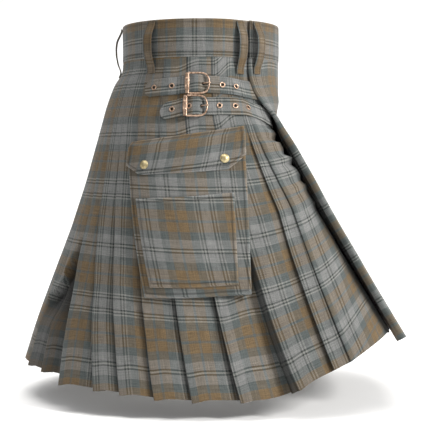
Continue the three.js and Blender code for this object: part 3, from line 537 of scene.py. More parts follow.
class NodeBench:
    """Small helper that places and joins shader nodes in one material."""

    def __init__(self, name: str) -> None:
        """Makes an empty material with a shader and an output."""
        self.material = bpy.data.materials.new(name)
        self.material.use_nodes = True
        self.tree = self.material.node_tree
        self.tree.nodes.clear()
        self.shader = self.tree.nodes.new("ShaderNodeBsdfPrincipled")
        self.output = self.tree.nodes.new("ShaderNodeOutputMaterial")
        self.tree.links.new(self.shader.outputs[0], self.output.inputs[0])

    def add(self, kind: str, **settings: object) -> bpy.types.Node:
        """Adds a node of a kind and sets its properties."""
        node = self.tree.nodes.new(kind)
        for key, value in settings.items():
            setattr(node, key, value)
        return node

    def join(self, source: bpy.types.NodeSocket, target: bpy.types.NodeSocket) -> None:
        """Links one socket to another."""
        self.tree.links.new(source, target)

    def math(self, operation: str, *values: object) -> bpy.types.NodeSocket:
        """Arithmetic on sockets or numbers.

        Args:
            operation: Name of the arithmetic.
            values: Sockets or numbers, in order.

        Returns:
            The result's socket.
        """
        node = self.add("ShaderNodeMath", operation=operation)
        for slot, value in zip(node.inputs, values):
            if isinstance(value, bpy.types.NodeSocket):
                self.join(value, slot)
            else:
                slot.default_value = value
        return node.outputs[0]

    def ramp(self, value: bpy.types.NodeSocket, stops: list, constant: bool) -> bpy.types.NodeSocket:
        """Colour from a value between 0 and 1.

        Args:
            value: The value's socket.
            stops: Position and colour pairs.
            constant: Whether each colour holds until the next stop.

        Returns:
            The colour's socket.
        """
        node = self.add("ShaderNodeValToRGB")
        ramp = node.color_ramp
        ramp.interpolation = "CONSTANT" if constant else "LINEAR"
        while len(ramp.elements) < len(stops):
            ramp.elements.new(1.0)
        for element, (position, colour) in zip(ramp.elements, stops):
            element.position = position
            element.color = (*colour, 1.0)
        self.join(value, node.inputs[0])
        return node.outputs[0]

    def blend(self, kind: str, share: object, first: object, second: object) -> bpy.types.NodeSocket:
        """Mixes two colours.

        Args:
            kind: Name of the blend.
            share: Socket or number.
            first: Socket or colour.
            second: Socket or colour.

        Returns:
            The colour's socket.
        """
        node = self.add("ShaderNodeMix", data_type="RGBA", blend_type=kind)
        for slot, value in ((node.inputs[0], share), (node.inputs[6], first), (node.inputs[7], second)):
            if isinstance(value, bpy.types.NodeSocket):
                self.join(value, slot)
            elif isinstance(value, tuple):
                slot.default_value = (*value, 1.0)
            else:
                slot.default_value = value
        return node.outputs[2]

    def stretch(self, vector: bpy.types.NodeSocket, scale: tuple[float, float, float]) -> bpy.types.NodeSocket:
        """Coordinates times a scale on each axis."""
        node = self.add("ShaderNodeVectorMath", operation="MULTIPLY")
        self.join(vector, node.inputs[0])
        node.inputs[1].default_value = scale
        return node.outputs[0]

    def noise(self, vector: bpy.types.NodeSocket, scale: float, detail: float) -> bpy.types.NodeSocket:
        """Soft noise value at a scale."""
        node = self.add("ShaderNodeTexNoise")
        node.inputs["Scale"].default_value = scale
        node.inputs["Detail"].default_value = detail
        self.join(vector, node.inputs["Vector"])
        return node.outputs[0]


@dataclass(frozen=True)
class Tartan:
    """Brushed tartan twill woven from one sett both ways, on the piece's own cloth coordinates."""

    name: str
    sett: Sett = field(default_factory=Sett)
    shade: float = 1.0
    rib: float = 0.3
    warp_share: float = 0.42
    painted_shade_strength: float = 0.6

    def make(self) -> bpy.types.Material:
        """Builds the material: both yarn colours are read from the folded thread count, and a two-over-two twill shows
        warp where the sum of the thread numbers, divided by four, leaves less than two. A value kept on the mesh paints
        shade into the colour in folds, grooves and hollows, and a painted highlight where it is below 0."""
        bench = NodeBench(self.name)
        place = bench.add("ShaderNodeUVMap", uv_map="Cloth").outputs[0]
        parts = bench.add("ShaderNodeSeparateXYZ")
        bench.join(place, parts.inputs[0])
        warp = bench.math("DIVIDE", parts.outputs[0], THREAD * METRE)
        weft = bench.math("DIVIDE", parts.outputs[1], THREAD * METRE)
        colours = []
        for threads, light in ((warp, self.sett.faded), (weft, self.sett.light)):
            folded = bench.math("PINGPONG", threads, float(self.sett.half))
            share = bench.math("DIVIDE", folded, float(self.sett.half))
            colours.append(bench.ramp(share, self.sett.stops(light), True))
        count = bench.math("ADD", bench.math("FLOOR", warp), bench.math("FLOOR", weft))
        over = bench.math("LESS_THAN", bench.math("FLOORED_MODULO", count, 4.0), 2.0)
        woven = bench.blend("MIX", over, colours[1], colours[0])
        soft = bench.blend("MIX", self.warp_share, colours[1], colours[0])
        colour = bench.blend("MIX", 0.6, woven, soft)
        fleck = bench.noise(place, 620.0, 3.0)
        faded = bench.noise(place, 14.0, 2.0)
        slubs = [bench.noise(bench.stretch(place, scale), 1.0, 2.0) for scale in ((40, 760, 1), (760, 40, 1))]
        tone = bench.math("ADD", bench.math("MULTIPLY", fleck, 0.8), bench.math("MULTIPLY", faded, 0.25))
        for slub in slubs:
            tone = bench.math("ADD", tone, bench.math("MULTIPLY", slub, 0.9))
        tone = bench.math("MULTIPLY", bench.math("ADD", tone, -0.42), self.shade)
        # Painted shade: the value kept on the mesh darkens the colour, and a value below 0 lightens it as a painted
        # highlight
        painted_shade = bench.add("ShaderNodeAttribute", attribute_name="PaintedShade").outputs["Fac"]
        tone = bench.math("MULTIPLY", tone, bench.math("SUBTRACT", 1.0, bench.math("MULTIPLY", painted_shade, self.painted_shade_strength)))
        grey = bench.add("ShaderNodeCombineColor")
        for slot in grey.inputs[:3]:
            bench.join(tone, slot)
        bench.join(bench.blend("MULTIPLY", 1.0, colour, grey.outputs[0]), bench.shader.inputs["Base Color"])
        slant = bench.math("ADD", warp, weft)
        ribs = bench.math("SINE", bench.math("MULTIPLY", slant, math.pi / 2))
        height = bench.math("ADD", ribs, bench.math("MULTIPLY", fleck, 1.6))
        bump = bench.add("ShaderNodeBump")
        bump.inputs["Strength"].default_value = self.rib
        bump.inputs["Distance"].default_value = 0.0003
        bench.join(height, bump.inputs["Height"])
        bench.join(bump.outputs[0], bench.shader.inputs["Normal"])
        bench.shader.inputs["Roughness"].default_value = 0.88
        bench.shader.inputs["Specular IOR Level"].default_value = 0.18
        bench.shader.inputs["Sheen Weight"].default_value = 0.10
        bench.shader.inputs["Sheen Roughness"].default_value = 0.5
        return bench.material


@dataclass(frozen=True)
class AgedMetal:
    """Antique plated metal: bright where handled, darker and rougher in patches."""

    name: str
    bright: tuple[float, float, float]
    tarnish: tuple[float, float, float]
    roughness: float = 0.34

    def make(self) -> bpy.types.Material:
        """Builds the material: object-space noise mixes bright and tarnished metal and moves the roughness."""
        bench = NodeBench(self.name)
        place = bench.add("ShaderNodeTexCoord").outputs["Object"]
        patch = bench.noise(place, 260.0, 4.0)
        grain = bench.noise(place, 1800.0, 3.0)
        share = bench.math("MULTIPLY", bench.math("SUBTRACT", patch, 0.36), 3.2)
        share.node.use_clamp = True
        bench.join(bench.blend("MIX", share, self.bright, self.tarnish), bench.shader.inputs["Base Color"])
        rough = bench.math("ADD", bench.math("MULTIPLY", patch, 0.35), self.roughness - 0.12)
        bench.join(rough, bench.shader.inputs["Roughness"])
        bump = bench.add("ShaderNodeBump")
        bump.inputs["Strength"].default_value = 0.25
        bump.inputs["Distance"].default_value = 0.0002
        bench.join(grain, bump.inputs["Height"])
        bench.join(bump.outputs[0], bench.shader.inputs["Normal"])
        bench.shader.inputs["Metallic"].default_value = 1.0
        return bench.material


@dataclass(frozen=True)
class Yarn:
    """Sewing thread: a matt dark yarn."""

    name: str
    colour: tuple[float, float, float] = (0.022, 0.021, 0.02)

    def make(self) -> bpy.types.Material:
        """Builds the material: fine object-space noise varies a dark matt colour."""
        bench = NodeBench(self.name)
        place = bench.add("ShaderNodeTexCoord").outputs["Object"]
        pale = tuple(1.9 * value for value in self.colour)
        share = bench.noise(place, 1500.0, 2.0)
        bench.join(bench.blend("MIX", share, self.colour, pale), bench.shader.inputs["Base Color"])
        bench.shader.inputs["Roughness"].default_value = 0.7
        return bench.material


class Slot(Enum):
    """Material slots of the record."""

    SKIRT = "skirt_tartan"
    BAND = "band_tartan"
    STRAP = "strap_tartan"
    POCKET = "pocket_tartan"
    LOOP = "loop_cloth"
    COPPER = "copper"
    BRASS = "brass"


class Wardrobe:
    """The finishes, made once, and the dressing of every piece."""

    STITCH = 2.7
    STITCH_STEP = 3.9
    YARN_SIDE = 0.34
    YARN_TOP = 0.42
    SPINDLE = np.array([(0, 1, 2), (0, 2, 3), (0, 3, 4), (0, 4, 1), (5, 2, 1), (5, 3, 2), (5, 4, 3), (5, 1, 4)])

    def __init__(self) -> None:
        """Makes one material for each slot, and the sewing thread."""
        self.materials = {
            Slot.SKIRT: Tartan("skirt_tartan_cloth").make(),
            Slot.BAND: Tartan("band_tartan_cloth", shade=0.96, warp_share=0.42).make(),
            Slot.STRAP: Tartan("strap_tartan_cloth", shade=1.02, warp_share=0.3).make(),
            Slot.POCKET: Tartan("pocket_tartan_cloth").make(),
            Slot.LOOP: Tartan("loop_tartan_cloth", shade=0.92, warp_share=0.9).make(),
            Slot.COPPER: AgedMetal("antique_copper", (0.66, 0.47, 0.35), (0.24, 0.15, 0.10)).make(),
            Slot.BRASS: AgedMetal("antique_brass", (0.66, 0.56, 0.33), (0.34, 0.27, 0.14), 0.4).make(),
        }
        self.thread = Yarn("sewing_thread").make()

    def dress(self, piece: bpy.types.Object, slot: Slot, *nodes: str) -> bpy.types.Object:
        """Gives a piece its finish and makes it ride on the body, standing for the nodes named.

        Args:
            piece: The object.
            slot: Material slot of the record.
            nodes: CAD nodes that the piece stands for.

        Returns:
            The same object.
        """
        piece.data.materials.append(self.materials[slot])
        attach(piece, "root")
        if nodes:
            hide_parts(*nodes)
        log.info("%s: %d faces, stands for %s", piece.name, len(piece.data.polygons), ", ".join(nodes) or "itself")
        return piece

    @staticmethod
    def at(where: Array, length: Array, values: Array) -> Array:
        """Values read at distances along a path, straight between its points.

        Args:
            where: Distances.
            length: Distance of each point of the path.
            values: Three values at each point.

        Returns:
            Three values at each distance.
        """
        return np.stack([np.interp(where, length, values[:, axis]) for axis in range(3)], -1)

    def sew(self, name: str, paths: Sequence[Array], lift: Sequence[Array], slot: Slot) -> bpy.types.Object:
        """Rows of stitches along paths, each stitch a slim spindle with its ends pulled into the cloth.

        Args:
            name: Name of the piece.
            paths: Points along each row, in millimetres.
            lift: Outward unit vector at each point of each row.
            slot: Material slot that the thread goes with.

        Returns:
            The object.
        """
        points, faces, first = [], [], 0
        for path, out in zip(paths, lift):
            length = np.concatenate([[0], np.cumsum(np.linalg.norm(np.diff(path, axis=0), axis=1))])
            starts = np.arange(1.0, length[-1] - self.STITCH - 0.5, self.STITCH_STEP)
            head, tail = self.at(starts, length, path), self.at(starts + self.STITCH, length, path)
            middle = self.at(starts + self.STITCH / 2, length, path)
            up = unit(self.at(starts + self.STITCH / 2, length, out))
            side = unit(np.cross(tail - head, up)) * self.YARN_SIDE
            corners = (head, middle + side, middle + up * self.YARN_TOP, middle - side, middle - up * 0.1, tail)
            spindle = np.stack(corners, 1)
            number = np.arange(len(starts))[:, None, None] * len(corners) + first
            points.append(spindle.reshape(-1, 3))
            faces.append((self.SPINDLE[None] + number).reshape(-1, 3))
            first += len(starts) * len(corners)
        piece = Loom.write(name, np.concatenate(points), faces, None, 60)
        piece.data.materials.append(self.thread)
        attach(piece, "root")
        log.info("%s: %d stitches", name, first // 6)
        return piece


@dataclass(frozen=True)
class Fold:
    """One knife pleat's fold edge: its angle where sewn, half way and at the hem, depth and lap at the hem,
    and the thread of the sett that lies on the fold."""

    sewn: float
    half: float
    hem: float
    depth: float
    lap: float
    thread: float = 0.0

    def angle(self, run: Array) -> Array:
        """Angle of the fold edge at each run."""
        return np.interp(run, (SEWN_RUN, HALF_RUN, HEM_RUN), (self.sewn, self.half, self.hem))


@dataclass(frozen=True)
class Ridge:
    """A soft crease: where it starts, how it runs, its width and height (negative for a trough)."""

    angle: float
    run: float
    across: float
    down: float
    width: float
    height: float


RIDGES = (
    # Gathers of the under-apron beside the over-apron's edge
    Ridge(42, 188, 30, -3, 7, 5.5), Ridge(40, 214, 34, -5, 8, 7.5), Ridge(37, 244, 34, -7, 9, 8.0),
    Ridge(35, 272, 34, -8, 9, 7.5), Ridge(33, 302, 32, -9, 9, 6.5), Ridge(31, 330, 28, -10, 11, 4.5),
    Ridge(43, 201, 22, -4, 5, -3.0), Ridge(40, 229, 22, -6, 6, -3.5), Ridge(37, 258, 22, -7, 6, -3.5),
    # Drag lines of the hip under the straps and above the pocket
    Ridge(72, 168, 42, 10, 7, 1.3), Ridge(104, 176, 38, -12, 9, -1.2), Ridge(60, 176, 22, 16, 6, 1.4),
    Ridge(118, 172, 30, -16, 9, 1.0), Ridge(140, 186, 36, -10, 10, -1.0),
    # Long soft swells down the pleats
    Ridge(146, 400, 10, 150, 16, 2.2), Ridge(131, 430, 8, 140, 13, -2.0), Ridge(121, 470, 7, 110, 12, 2.0),
    Ridge(108, 520, 8, 90, 13, -2.0), Ridge(97, 520, 7, 90, 12, 2.2), Ridge(83, 500, 8, 110, 13, -2.4),
    Ridge(66, 430, 8, 170, 14, 2.6), Ridge(56, 420, 6, 170, 12, -2.2), Ridge(40, 440, 8, 160, 22, 3.0),
    Ridge(162, 440, 10, 150, 16, -2.4), Ridge(175, 400, 8, 190, 17, 2.4), Ridge(188, 460, 9, 140, 15, -2.0),
    Ridge(201, 420, 8, 180, 15, 2.3), Ridge(214, 470, 7, 130, 14, -2.2), Ridge(228, 430, 9, 170, 15, 2.4),
    Ridge(241, 500, 7, 110, 13, -2.0), Ridge(254, 460, 8, 150, 14, 2.0), Ridge(268, 520, 8, 90, 13, -2.2),
    Ridge(280, 480, 8, 130, 14, 2.4), Ridge(292, 440, 9, 160, 16, -2.0),
    Ridge(196, 190, 34, -10, 9, -1.0), Ridge(224, 182, 30, 12, 9, 1.0), Ridge(252, 176, 36, 10, 8, -1.1),
    Ridge(278, 170, 28, -12, 8, 1.2),
    # The over-apron's broad swells and a few drag lines from the waist
    Ridge(340, 380, 16, 220, 34, 3.0), Ridge(372, 400, 14, 210, 30, -2.4), Ridge(322, 430, 10, 180, 24, -2.2),
    Ridge(356, 240, 22, 130, 26, 2.0), Ridge(384, 470, 8, 140, 18, 2.2), Ridge(330, 150, 40, 16, 12, -1.4),
    Ridge(366, 132, 38, -18, 12, 1.2), Ridge(398, 190, 14, 60, 10, 1.6), Ridge(311, 210, 14, 90, 14, 1.8),
)


def relief(form: Form, angle: Array, run: Array) -> Array:
    """Height of all soft creases: each is its height times a bell across it, tapering to both ends.

    Args:
        form: The kilt's form, for lengths along the ring.
        angle: Degrees round from the front.
        run: Cloth length down from the top edge.

    Returns:
        Lift at each place.
    """
    per_degree = form.per_degree(angle, run)
    total = np.zeros(np.broadcast(angle, run).shape)
    for ridge in RIDGES:
        x = (angle - ridge.angle) * per_degree
        y = run - ridge.run
        dx, dy = ridge.across * per_degree * 0.5, ridge.down * 0.5
        length = np.hypot(dx, dy)
        along = (x * dx + y * dy) / length**2
        beside = (x * dy - y * dx) / length
        total += ridge.height * np.exp(-((beside / ridge.width) ** 2) - np.abs(along) ** 3)
    return total


@dataclass
class SkirtCloth:
    """The pleated skirt and both aprons, cut from one cloth and pressed into knife pleats."""

    form: Form
    wrap: Wrap
    wardrobe: Wardrobe
    cloth: float = 1.1
    frame_cloth: float = 1.3
    sewn_end: float = 190.0
    open_run: float = 215.0
    open_depth: float = 4.8
    step_depth: float = 1.4
    step_width: float = 3.0
    turn: float = 2.6
    hollow_depth: float = 18.0
    # Painted shade of the hollow beside the hitched fold: its strength and the power of its share
    hollow_painted_shade: float = 1.55
    hollow_shade_power: float = 0.6
    hollow_blur: float = 1.2
    hollow_runs: tuple[float, ...] = (372, 385, 416, 445, 471, 489, 505, 530)
    hollow_angles: tuple[float, ...] = (149, 151.5, 153.8, 156.6, 160.4, 165, 171, 178)
    hollow_start: tuple[float, float] = (372.0, 402.0)
    hollow_fade: tuple[float, float] = (475.0, 545.0)
    hollow_left: float = 0.4
    hollow_guard: tuple[float, float] = (162.0, 172.0)
    shadow_sewn: float = 0.4
    face_columns: int = 17
    apron_shadow: float = 20.0
    shadow_widths: tuple[float, float] = (3.5, 15.0)
    hitch_height: float = 14.0
    hitch_start: float = 330.0
    hitch_fade: tuple[float, float] = (185.0, 240.0)
    hitch_fold: int = 6
    sag: float = 5.5
    deeper: float = 1.3
    front: Fold = Fold(66, 57, 51.2, 9, 14, 125)
    crease: Fold = Fold(62, 51, 46.5, 4, 4, 262)
    last: Fold = Fold(294, 303, 308.8, 9, 12, 60)
    side: tuple[Fold, ...] = (
        Fold(82, 72, 60.5, 24, -13, 125), Fold(97, 90, 77, 12, 16, 0), Fold(112, 104.5, 92, 10, 22, 31),
        Fold(126, 118, 104, 10, 20, 50), Fold(138, 130, 115.5, 9, 16, 142), Fold(148, 140, 125, 10, 16, 118),
        Fold(156, 149, 140, 17, 6, 31), Fold(164, 160, 153, 12, 16, 205), Fold(172, 170, 166.5, 10, 20, 96),
    )
    back: Fold = Fold(180, 180, 180, 10, 20, 150)
    left_threads: tuple[float, ...] = (20, 230, 31, 126, 250, 60, 140, 12, 110)
    roll: tuple[tuple[float, float], ...] = (
        (9, 0.3), (6, 0.7), (3.5, 0.5), (1.6, -0.4), (0.5, -1.9), (0, -4), (0, -6.5), (0.4, -8.6), (1.4, -10.2),
        (2.8, -10.9), (4.1, -10.2), (4.6, -8.4), (4.4, -5.8), (5.2, -4.0), (8, -3.2), (13, -2.9), (19, -2.8),
    )
    facing: float = -2.8
    roll_top: float = 0.14

    def folds(self) -> list[Fold]:
        """Fold edges of the pleated skirt in order, the left side a mirror of the right."""
        mirrored = [
            Fold(360 - fold.sewn, 360 - fold.half, 360 - fold.hem, 10, 18, thread)
            for fold, thread in zip(reversed(self.side), self.left_threads)
        ]
        return [*self.side, self.back, *mirrored, self.last]

    def runs(self) -> Array:
        """Runs of the rows, closer in the hip and at the hem."""
        number = np.arange(74)
        return np.interp(number, (0, 24, 38, 59, 69, 71, 72, 73), (62.3, 209, 365, 525, 602, 611, 614, 615))

    def corners(self, fold: Fold, run: Array) -> tuple[Array, Array]:
        """The four corners of a fold at each run, as distances along the ring and lifts.

        Args:
            fold: The pleat.
            run: Runs of the rows.

        Returns:
            Distances and lifts, rows by 4.
        """
        opened = ease(self.sewn_end, self.open_run, run)
        grown = np.clip((run - self.open_run) / (HEM_RUN - self.open_run), 0, 1)
        full = min(self.open_depth, fold.depth)
        depth = mix(mix(self.step_depth, full, opened), fold.depth * mix(1.0, self.deeper, grown), grown)
        lap = mix(mix(-self.step_width, -1.0, opened), fold.lap, np.sqrt(grown))
        turn = np.minimum(self.turn, depth / 3)
        third = np.maximum(-lap, 0) / 3
        zero = np.zeros_like(run)
        along = np.stack([zero, third, -lap - third, -lap], -1)
        return along, np.stack([zero, -turn, turn - depth, -depth], -1)

    def weft(self, angle: Array, run: Array) -> Array:
        """Cloth coordinate down the cloth: the run, moved where the cloth is pulled up towards the front."""
        near_side = np.clip(28 - 0.068 * (run - 261), 4, 34) * (1 - ease(70, 82, angle))
        apron = np.clip(13 + 0.07 * (run - 346), 4, 28) * (1 - ease(32, 50, angle))
        hip = 12 * (1 - ease(90, 105, angle)) * (1 - ease(240, 330, run)) * ease(70, 82, angle)
        return run + near_side + apron + hip

    def column_block(self, start: Array, end: Array, low: Array, high: Array, count: int, bow: float) -> tuple:
        """Columns between two corners, closest near both, with the last corner left to the next block.

        Args:
            start: Absolute angle of the first corner at each row.
            end: Absolute angle of the second corner.
            low: Lift of the first corner.
            high: Lift of the second corner.
            count: Number of columns.
            bow: Power of the rise between the two lifts.

        Returns:
            Angles and lifts, rows by count.
        """
        share = 0.5 - 0.5 * np.cos(np.pi * np.arange(count) / count)
        angle = mix(start[:, None], end[:, None], share)
        lift = high[:, None] + (low - high)[:, None] * (1 - share) ** bow
        return angle, lift

    def weave(self, angle: Array, lift: Array, u: Array, run: Array, surface: Surface) -> tuple[Array, Array]:
        """Middle points of the cloth and its cloth coordinates from angles and lifts.

        Args:
            angle: Absolute angles, rows by columns.
            lift: Lifts of the outer face.
            u: Cloth coordinate along the ring.
            run: Run of each row.
            surface: Surface that the cloth hangs from.

        Returns:
            Points and cloth coordinates.
        """
        grid_run = np.broadcast_to(run[:, None], angle.shape)
        for _ in range(2):
            angle[:, 1:-1] = (angle[:, :-2] + 2 * angle[:, 1:-1] + angle[:, 2:]) / 4
            lift[:, 1:-1] = (lift[:, :-2] + 2 * lift[:, 1:-1] + lift[:, 2:]) / 4
        swell = relief(self.form, angle, grid_run) * ease(62, 110, grid_run)
        swell = swell - self.hollow_depth * self.hollow(angle, grid_run)
        points = surface(angle, grid_run, lift + swell - self.frame_cloth / 2)
        return points, np.stack([u, self.weft(angle, grid_run)], -1)

    def hollow(self, angle: Array, run: Array) -> Array:
        """Share of the hollow beside the hitched fold, where the pleat above hangs clear of the cloth below.

        Args:
            angle: Absolute angles.
            run: Runs of the same shape.

        Returns:
            1 in the hollow, 0 outside it.
        """
        fold = self.side[self.hitch_fold].angle(run)
        beyond = (angle - fold) * self.form.per_degree(fold, run)
        edge = np.interp(run, self.hollow_runs, self.hollow_angles)
        within = ease(0, 8, beyond) * (1 - ease(edge - self.hollow_blur, edge + self.hollow_blur, angle))
        along = ease(*self.hollow_start, run) * mix(1, self.hollow_left, ease(*self.hollow_fade, run))
        return within * along * (1 - ease(*self.hollow_guard, angle))

    def painted_shade(self, above: Fold, run: Array, angle: Array) -> Array:
        """Painted shadow on the cloth of one pleat, cast by the fold above: full under the fold above and on its own
        return, and fading with the distance beyond the fold above.

        Args:
            above: The fold that lies over the face's start.
            run: Runs of the rows.
            angle: Absolute angles, rows by columns.

        Returns:
            Shares, rows by columns.
        """
        base = above.angle(run)
        beyond = (angle - base[:, None]) * self.form.per_degree(base, run)[:, None]
        width = mix(*self.shadow_widths, ease(self.sewn_end, 500, run))[:, None]
        share = np.where(np.arange(angle.shape[1]) > self.face_columns, 1.0, 1 - ease(0, width, beyond))
        return share * mix(self.shadow_sewn, 1.0, ease(self.sewn_end, HALF_RUN, run))[:, None]

    def pleat_columns(self, fold: Fold, run: Array, start: tuple[Array, Array], ends: int) -> tuple:
        """Columns of one pleat: its face up to the fold edge, the turn, the return and the inner turn.

        Args:
            fold: This pleat.
            run: Runs of the rows.
            start: Absolute angle and lift where the face starts.
            ends: Corners of the fold to include.

        Returns:
            Angles, lifts and cloth coordinates along the ring, rows by columns.
        """
        base = fold.angle(run)
        per_degree = self.form.per_degree(base, run)
        along, lifts = self.corners(fold, run)
        absolute = base[:, None] + along / per_degree[:, None]
        blocks = [self.column_block(start[0], absolute[:, 0], start[1], lifts[:, 0], self.face_columns, 1.5)]
        for index, count in ((0, 3), (1, 7), (2, 3))[: ends - 1]:
            nexts = index + 1
            blocks.append(self.column_block(
                absolute[:, index], absolute[:, nexts], lifts[:, index], lifts[:, nexts], count, 1.0))
        angle = np.concatenate([block[0] for block in blocks], 1)
        lift = np.concatenate([block[1] for block in blocks], 1)
        reach = (base[:, None] - angle) * per_degree[:, None]
        folded = np.arange(angle.shape[1]) >= self.face_columns
        u = fold.thread * THREAD + np.where(folded, -np.abs(reach) - 2, reach)
        return angle, lift, u, (absolute[:, ends - 1], lifts[:, ends - 1])

    def close(self, parts: list[tuple], tail: tuple[Array, Array]) -> tuple[Array, Array, Array]:
        """Joins blocks of columns and adds the last corner.

        Args:
            parts: Angles, lifts and cloth coordinates of each block.
            tail: Absolute angle and lift of the last corner.

        Returns:
            Angles, lifts and cloth coordinates along the ring.
        """
        angle = np.concatenate([part[0] for part in parts] + [tail[0][:, None]], 1)
        lift = np.concatenate([part[1] for part in parts] + [tail[1][:, None]], 1)
        u = np.concatenate([part[2] for part in parts] + [parts[-1][2][:, -1:] - 1], 1)
        return angle, lift, u

    def under(self, fold: Fold, run: Array) -> tuple[Array, Array]:
        """Start of the cloth under a fold, beside the end of the fold's own return.

        Args:
            fold: The pleat that lies over it.
            run: Runs of the rows.

        Returns:
            Absolute angle and lift.
        """
        opened = ease(self.sewn_end, self.open_run, run)
        along, lifts = self.corners(fold, run)
        base = fold.angle(run)
        shift = along[:, 2] + 0.3 * (1 - opened)
        return base + shift / self.form.per_degree(base, run), lifts[:, 2] - 1.6 * opened

    def hem_sag(self, points: Array, u: Array, run: Array) -> Array:
        """Lowers each pleat's fold edge a little at the hem, by a bell about the fold."""
        weight = ease(430, HEM_RUN, run)[:, None]
        points = points.copy()
        points[..., 2] -= self.sag * weight * np.exp(-((u / 16.0) ** 2))
        return points

    def hitch(self, fold: Fold, run: Array) -> Array:
        """How far the cloth beside a fold is hitched up at each run."""
        fade = 1 - ease(*self.hitch_fade, fold.angle(run))
        return self.hitch_height * ease(self.hitch_start, HEM_RUN, run) * fade

    def make_skirt(self) -> bpy.types.Object:
        """Pleated skirt from under the first fold on the wearer's right, round the back, to the left hip."""
        run = self.runs()
        start = self.under(self.front, run)
        parts, nearness, raised, shadow = [], [], [], []
        behind, above = np.zeros_like(run), self.front
        for order, fold in enumerate(self.folds()):
            ends = 3 if fold is self.last else 4
            *part, start = self.pleat_columns(fold, run, start, ends)
            parts.append(part)
            shadow.append(self.painted_shade(above, run, part[0]))
            nearness.append(part[2] - fold.thread * THREAD)
            after = self.hitch(fold, run) if order >= self.hitch_fold else np.zeros_like(run)
            turned = 20 if order == self.hitch_fold else 0
            share = ease(turned, turned + 12, np.arange(part[0].shape[1]))
            raised.append(mix(behind[:, None], after[:, None], share))
            behind, above = after, fold
        angle, lift, u = self.close(parts, start)
        reach = np.concatenate(nearness + [nearness[-1][:, -1:] - 1], 1)
        points, cloth = self.weave(angle, lift, u, run, self.wrap.body)
        points = self.hem_sag(points, reach, run)
        points[..., 2] += np.concatenate(raised + [raised[-1][:, -1:]], 1)
        # Painted shadow beside each fold edge, where the fold above casts its shadow
        painted_shade = np.concatenate(shadow + [shadow[-1][:, -1:]], 1)
        # The hollow is painted nearly black as painted shade, so most of its darkness is painted, not depth
        hollow = self.hollow(angle, np.broadcast_to(run[:, None], angle.shape))
        painted_shade = np.maximum(painted_shade, self.hollow_painted_shade * hollow**self.hollow_shade_power)
        piece = Loom.sheet("skirt_of_pleats", points, self.cloth, cloth, 50, painted_shade)
        self.wardrobe.dress(piece, Slot.SKIRT, "pleated_skirt")
        return piece

    def make_under_apron(self) -> bpy.types.Object:
        """Under-apron from its left end, below the over-apron, to the first pleat's fold on the right."""
        run = self.runs()
        end, base = self.wrap.under_end(run), self.crease.angle(run)
        share = np.linspace(0, 1, 60)[:-1] ** 0.8
        flat_angle = mix(end[:, None], base[:, None], share)
        per_degree = self.form.per_degree(base, run)
        flat_u = self.crease.thread * THREAD + (base[:, None] - flat_angle) * per_degree[:, None]
        parts = [(flat_angle, np.zeros_like(flat_angle), flat_u)]
        along, lifts = self.corners(self.crease, run)
        absolute = base[:, None] + along / per_degree[:, None]
        for index, count in ((0, 3), (1, 3), (2, 3)):
            block = self.column_block(
                absolute[:, index], absolute[:, index + 1], lifts[:, index], lifts[:, index + 1], count, 1.0)
            parts.append((*block, self.crease.thread * THREAD - 1.0 * np.ones_like(block[0])))
        *part, tail = self.pleat_columns(self.front, run, (absolute[:, 3], lifts[:, 3]), 3)
        parts.append(part)
        angle, lift, u = self.close(parts, tail)
        points, cloth = self.weave(angle, lift, u, run, self.wrap.body)
        # Painted shade on the under-apron beside the over-apron's free edge and on its pleat's return
        beyond = (angle - self.wrap.edge(run)[:, None]) * per_degree[:, None]
        painted_shade = np.maximum(1 - ease(0, self.apron_shadow, beyond), np.clip(-lift / self.front.depth, 0, 1))
        piece = Loom.sheet("apron_under", points, self.cloth, cloth, 50, painted_shade * ease(120, 200, run)[:, None])
        self.wardrobe.dress(piece, Slot.SKIRT, "under_apron")
        return piece

    def make_over_apron(self) -> bpy.types.Object:
        """Over-apron from under the last pleat's fold to its free edge, where a facing is turned in."""
        run = self.runs()
        start = self.under(self.last, run)
        edge = 360 + self.wrap.edge(run)
        per_degree = self.form.per_degree(edge, run)
        clear = self.last.angle(run) + 2
        lead = self.column_block(start[0], clear, start[1], np.zeros_like(run), 8, 1.0)
        share = np.linspace(0, 1, 92)[:-1]
        share = 1 - (1 - share) ** 1.25
        face = mix(clear[:, None], (edge - 11 / per_degree)[:, None], share)
        tail_angle = np.stack([edge - distance / per_degree for distance, _ in self.roll], 1)
        tail_lift = np.broadcast_to(np.array([lift for _, lift in self.roll]), tail_angle.shape)
        full = mix(self.roll_top, 1.0, ease(120, 230, run))[:, None]
        tail_lift = np.where(tail_lift < self.facing, self.facing + (tail_lift - self.facing) * full, tail_lift)
        angle = np.concatenate([lead[0], face, tail_angle], 1)
        lift = np.concatenate([lead[1], np.zeros_like(face), tail_lift], 1)
        u = (edge[:, None] - np.minimum(angle, edge[:, None])) * per_degree[:, None] + 118 * THREAD
        grid_run = np.broadcast_to(run[:, None], angle.shape)
        swell = relief(self.form, angle, grid_run) * ease(62, 110, grid_run) * (1 - ease(-30, 0, angle - edge[:, None]) * 0.7)
        points = self.wrap.apron(angle, grid_run, lift + swell - self.frame_cloth / 2)
        cloth = np.stack([u, self.weft(angle - 360, grid_run)], -1)
        piece = Loom.sheet("apron_over", points, self.cloth, cloth, 50)
        self.wardrobe.dress(piece, Slot.SKIRT, "over_apron")
        return piece

    def sew_fell(self) -> None:
        """Stitches that hold the pleats down from the waistband to the end of the sewn part."""
        paths, outs = [], []
        for fold in [self.front, *self.folds()[:-1]]:
            run = np.linspace(66, 192, 60)
            angle = fold.angle(run) - 2.2 / self.form.per_degree(fold.angle(run), run)
            paths.append(self.wrap.body(angle, run, relief(self.form, angle, run) * ease(62, 110, run) - 0.1))
            outs.append(self.form.outward(angle, run))
        self.wardrobe.sew("stitches_of_pleats", paths, outs, Slot.SKIRT)

    def make(self) -> None:
        """Makes the skirt, both aprons and their stitching."""
        self.make_skirt()
        self.make_under_apron()
        self.make_over_apron()
        self.sew_fell()


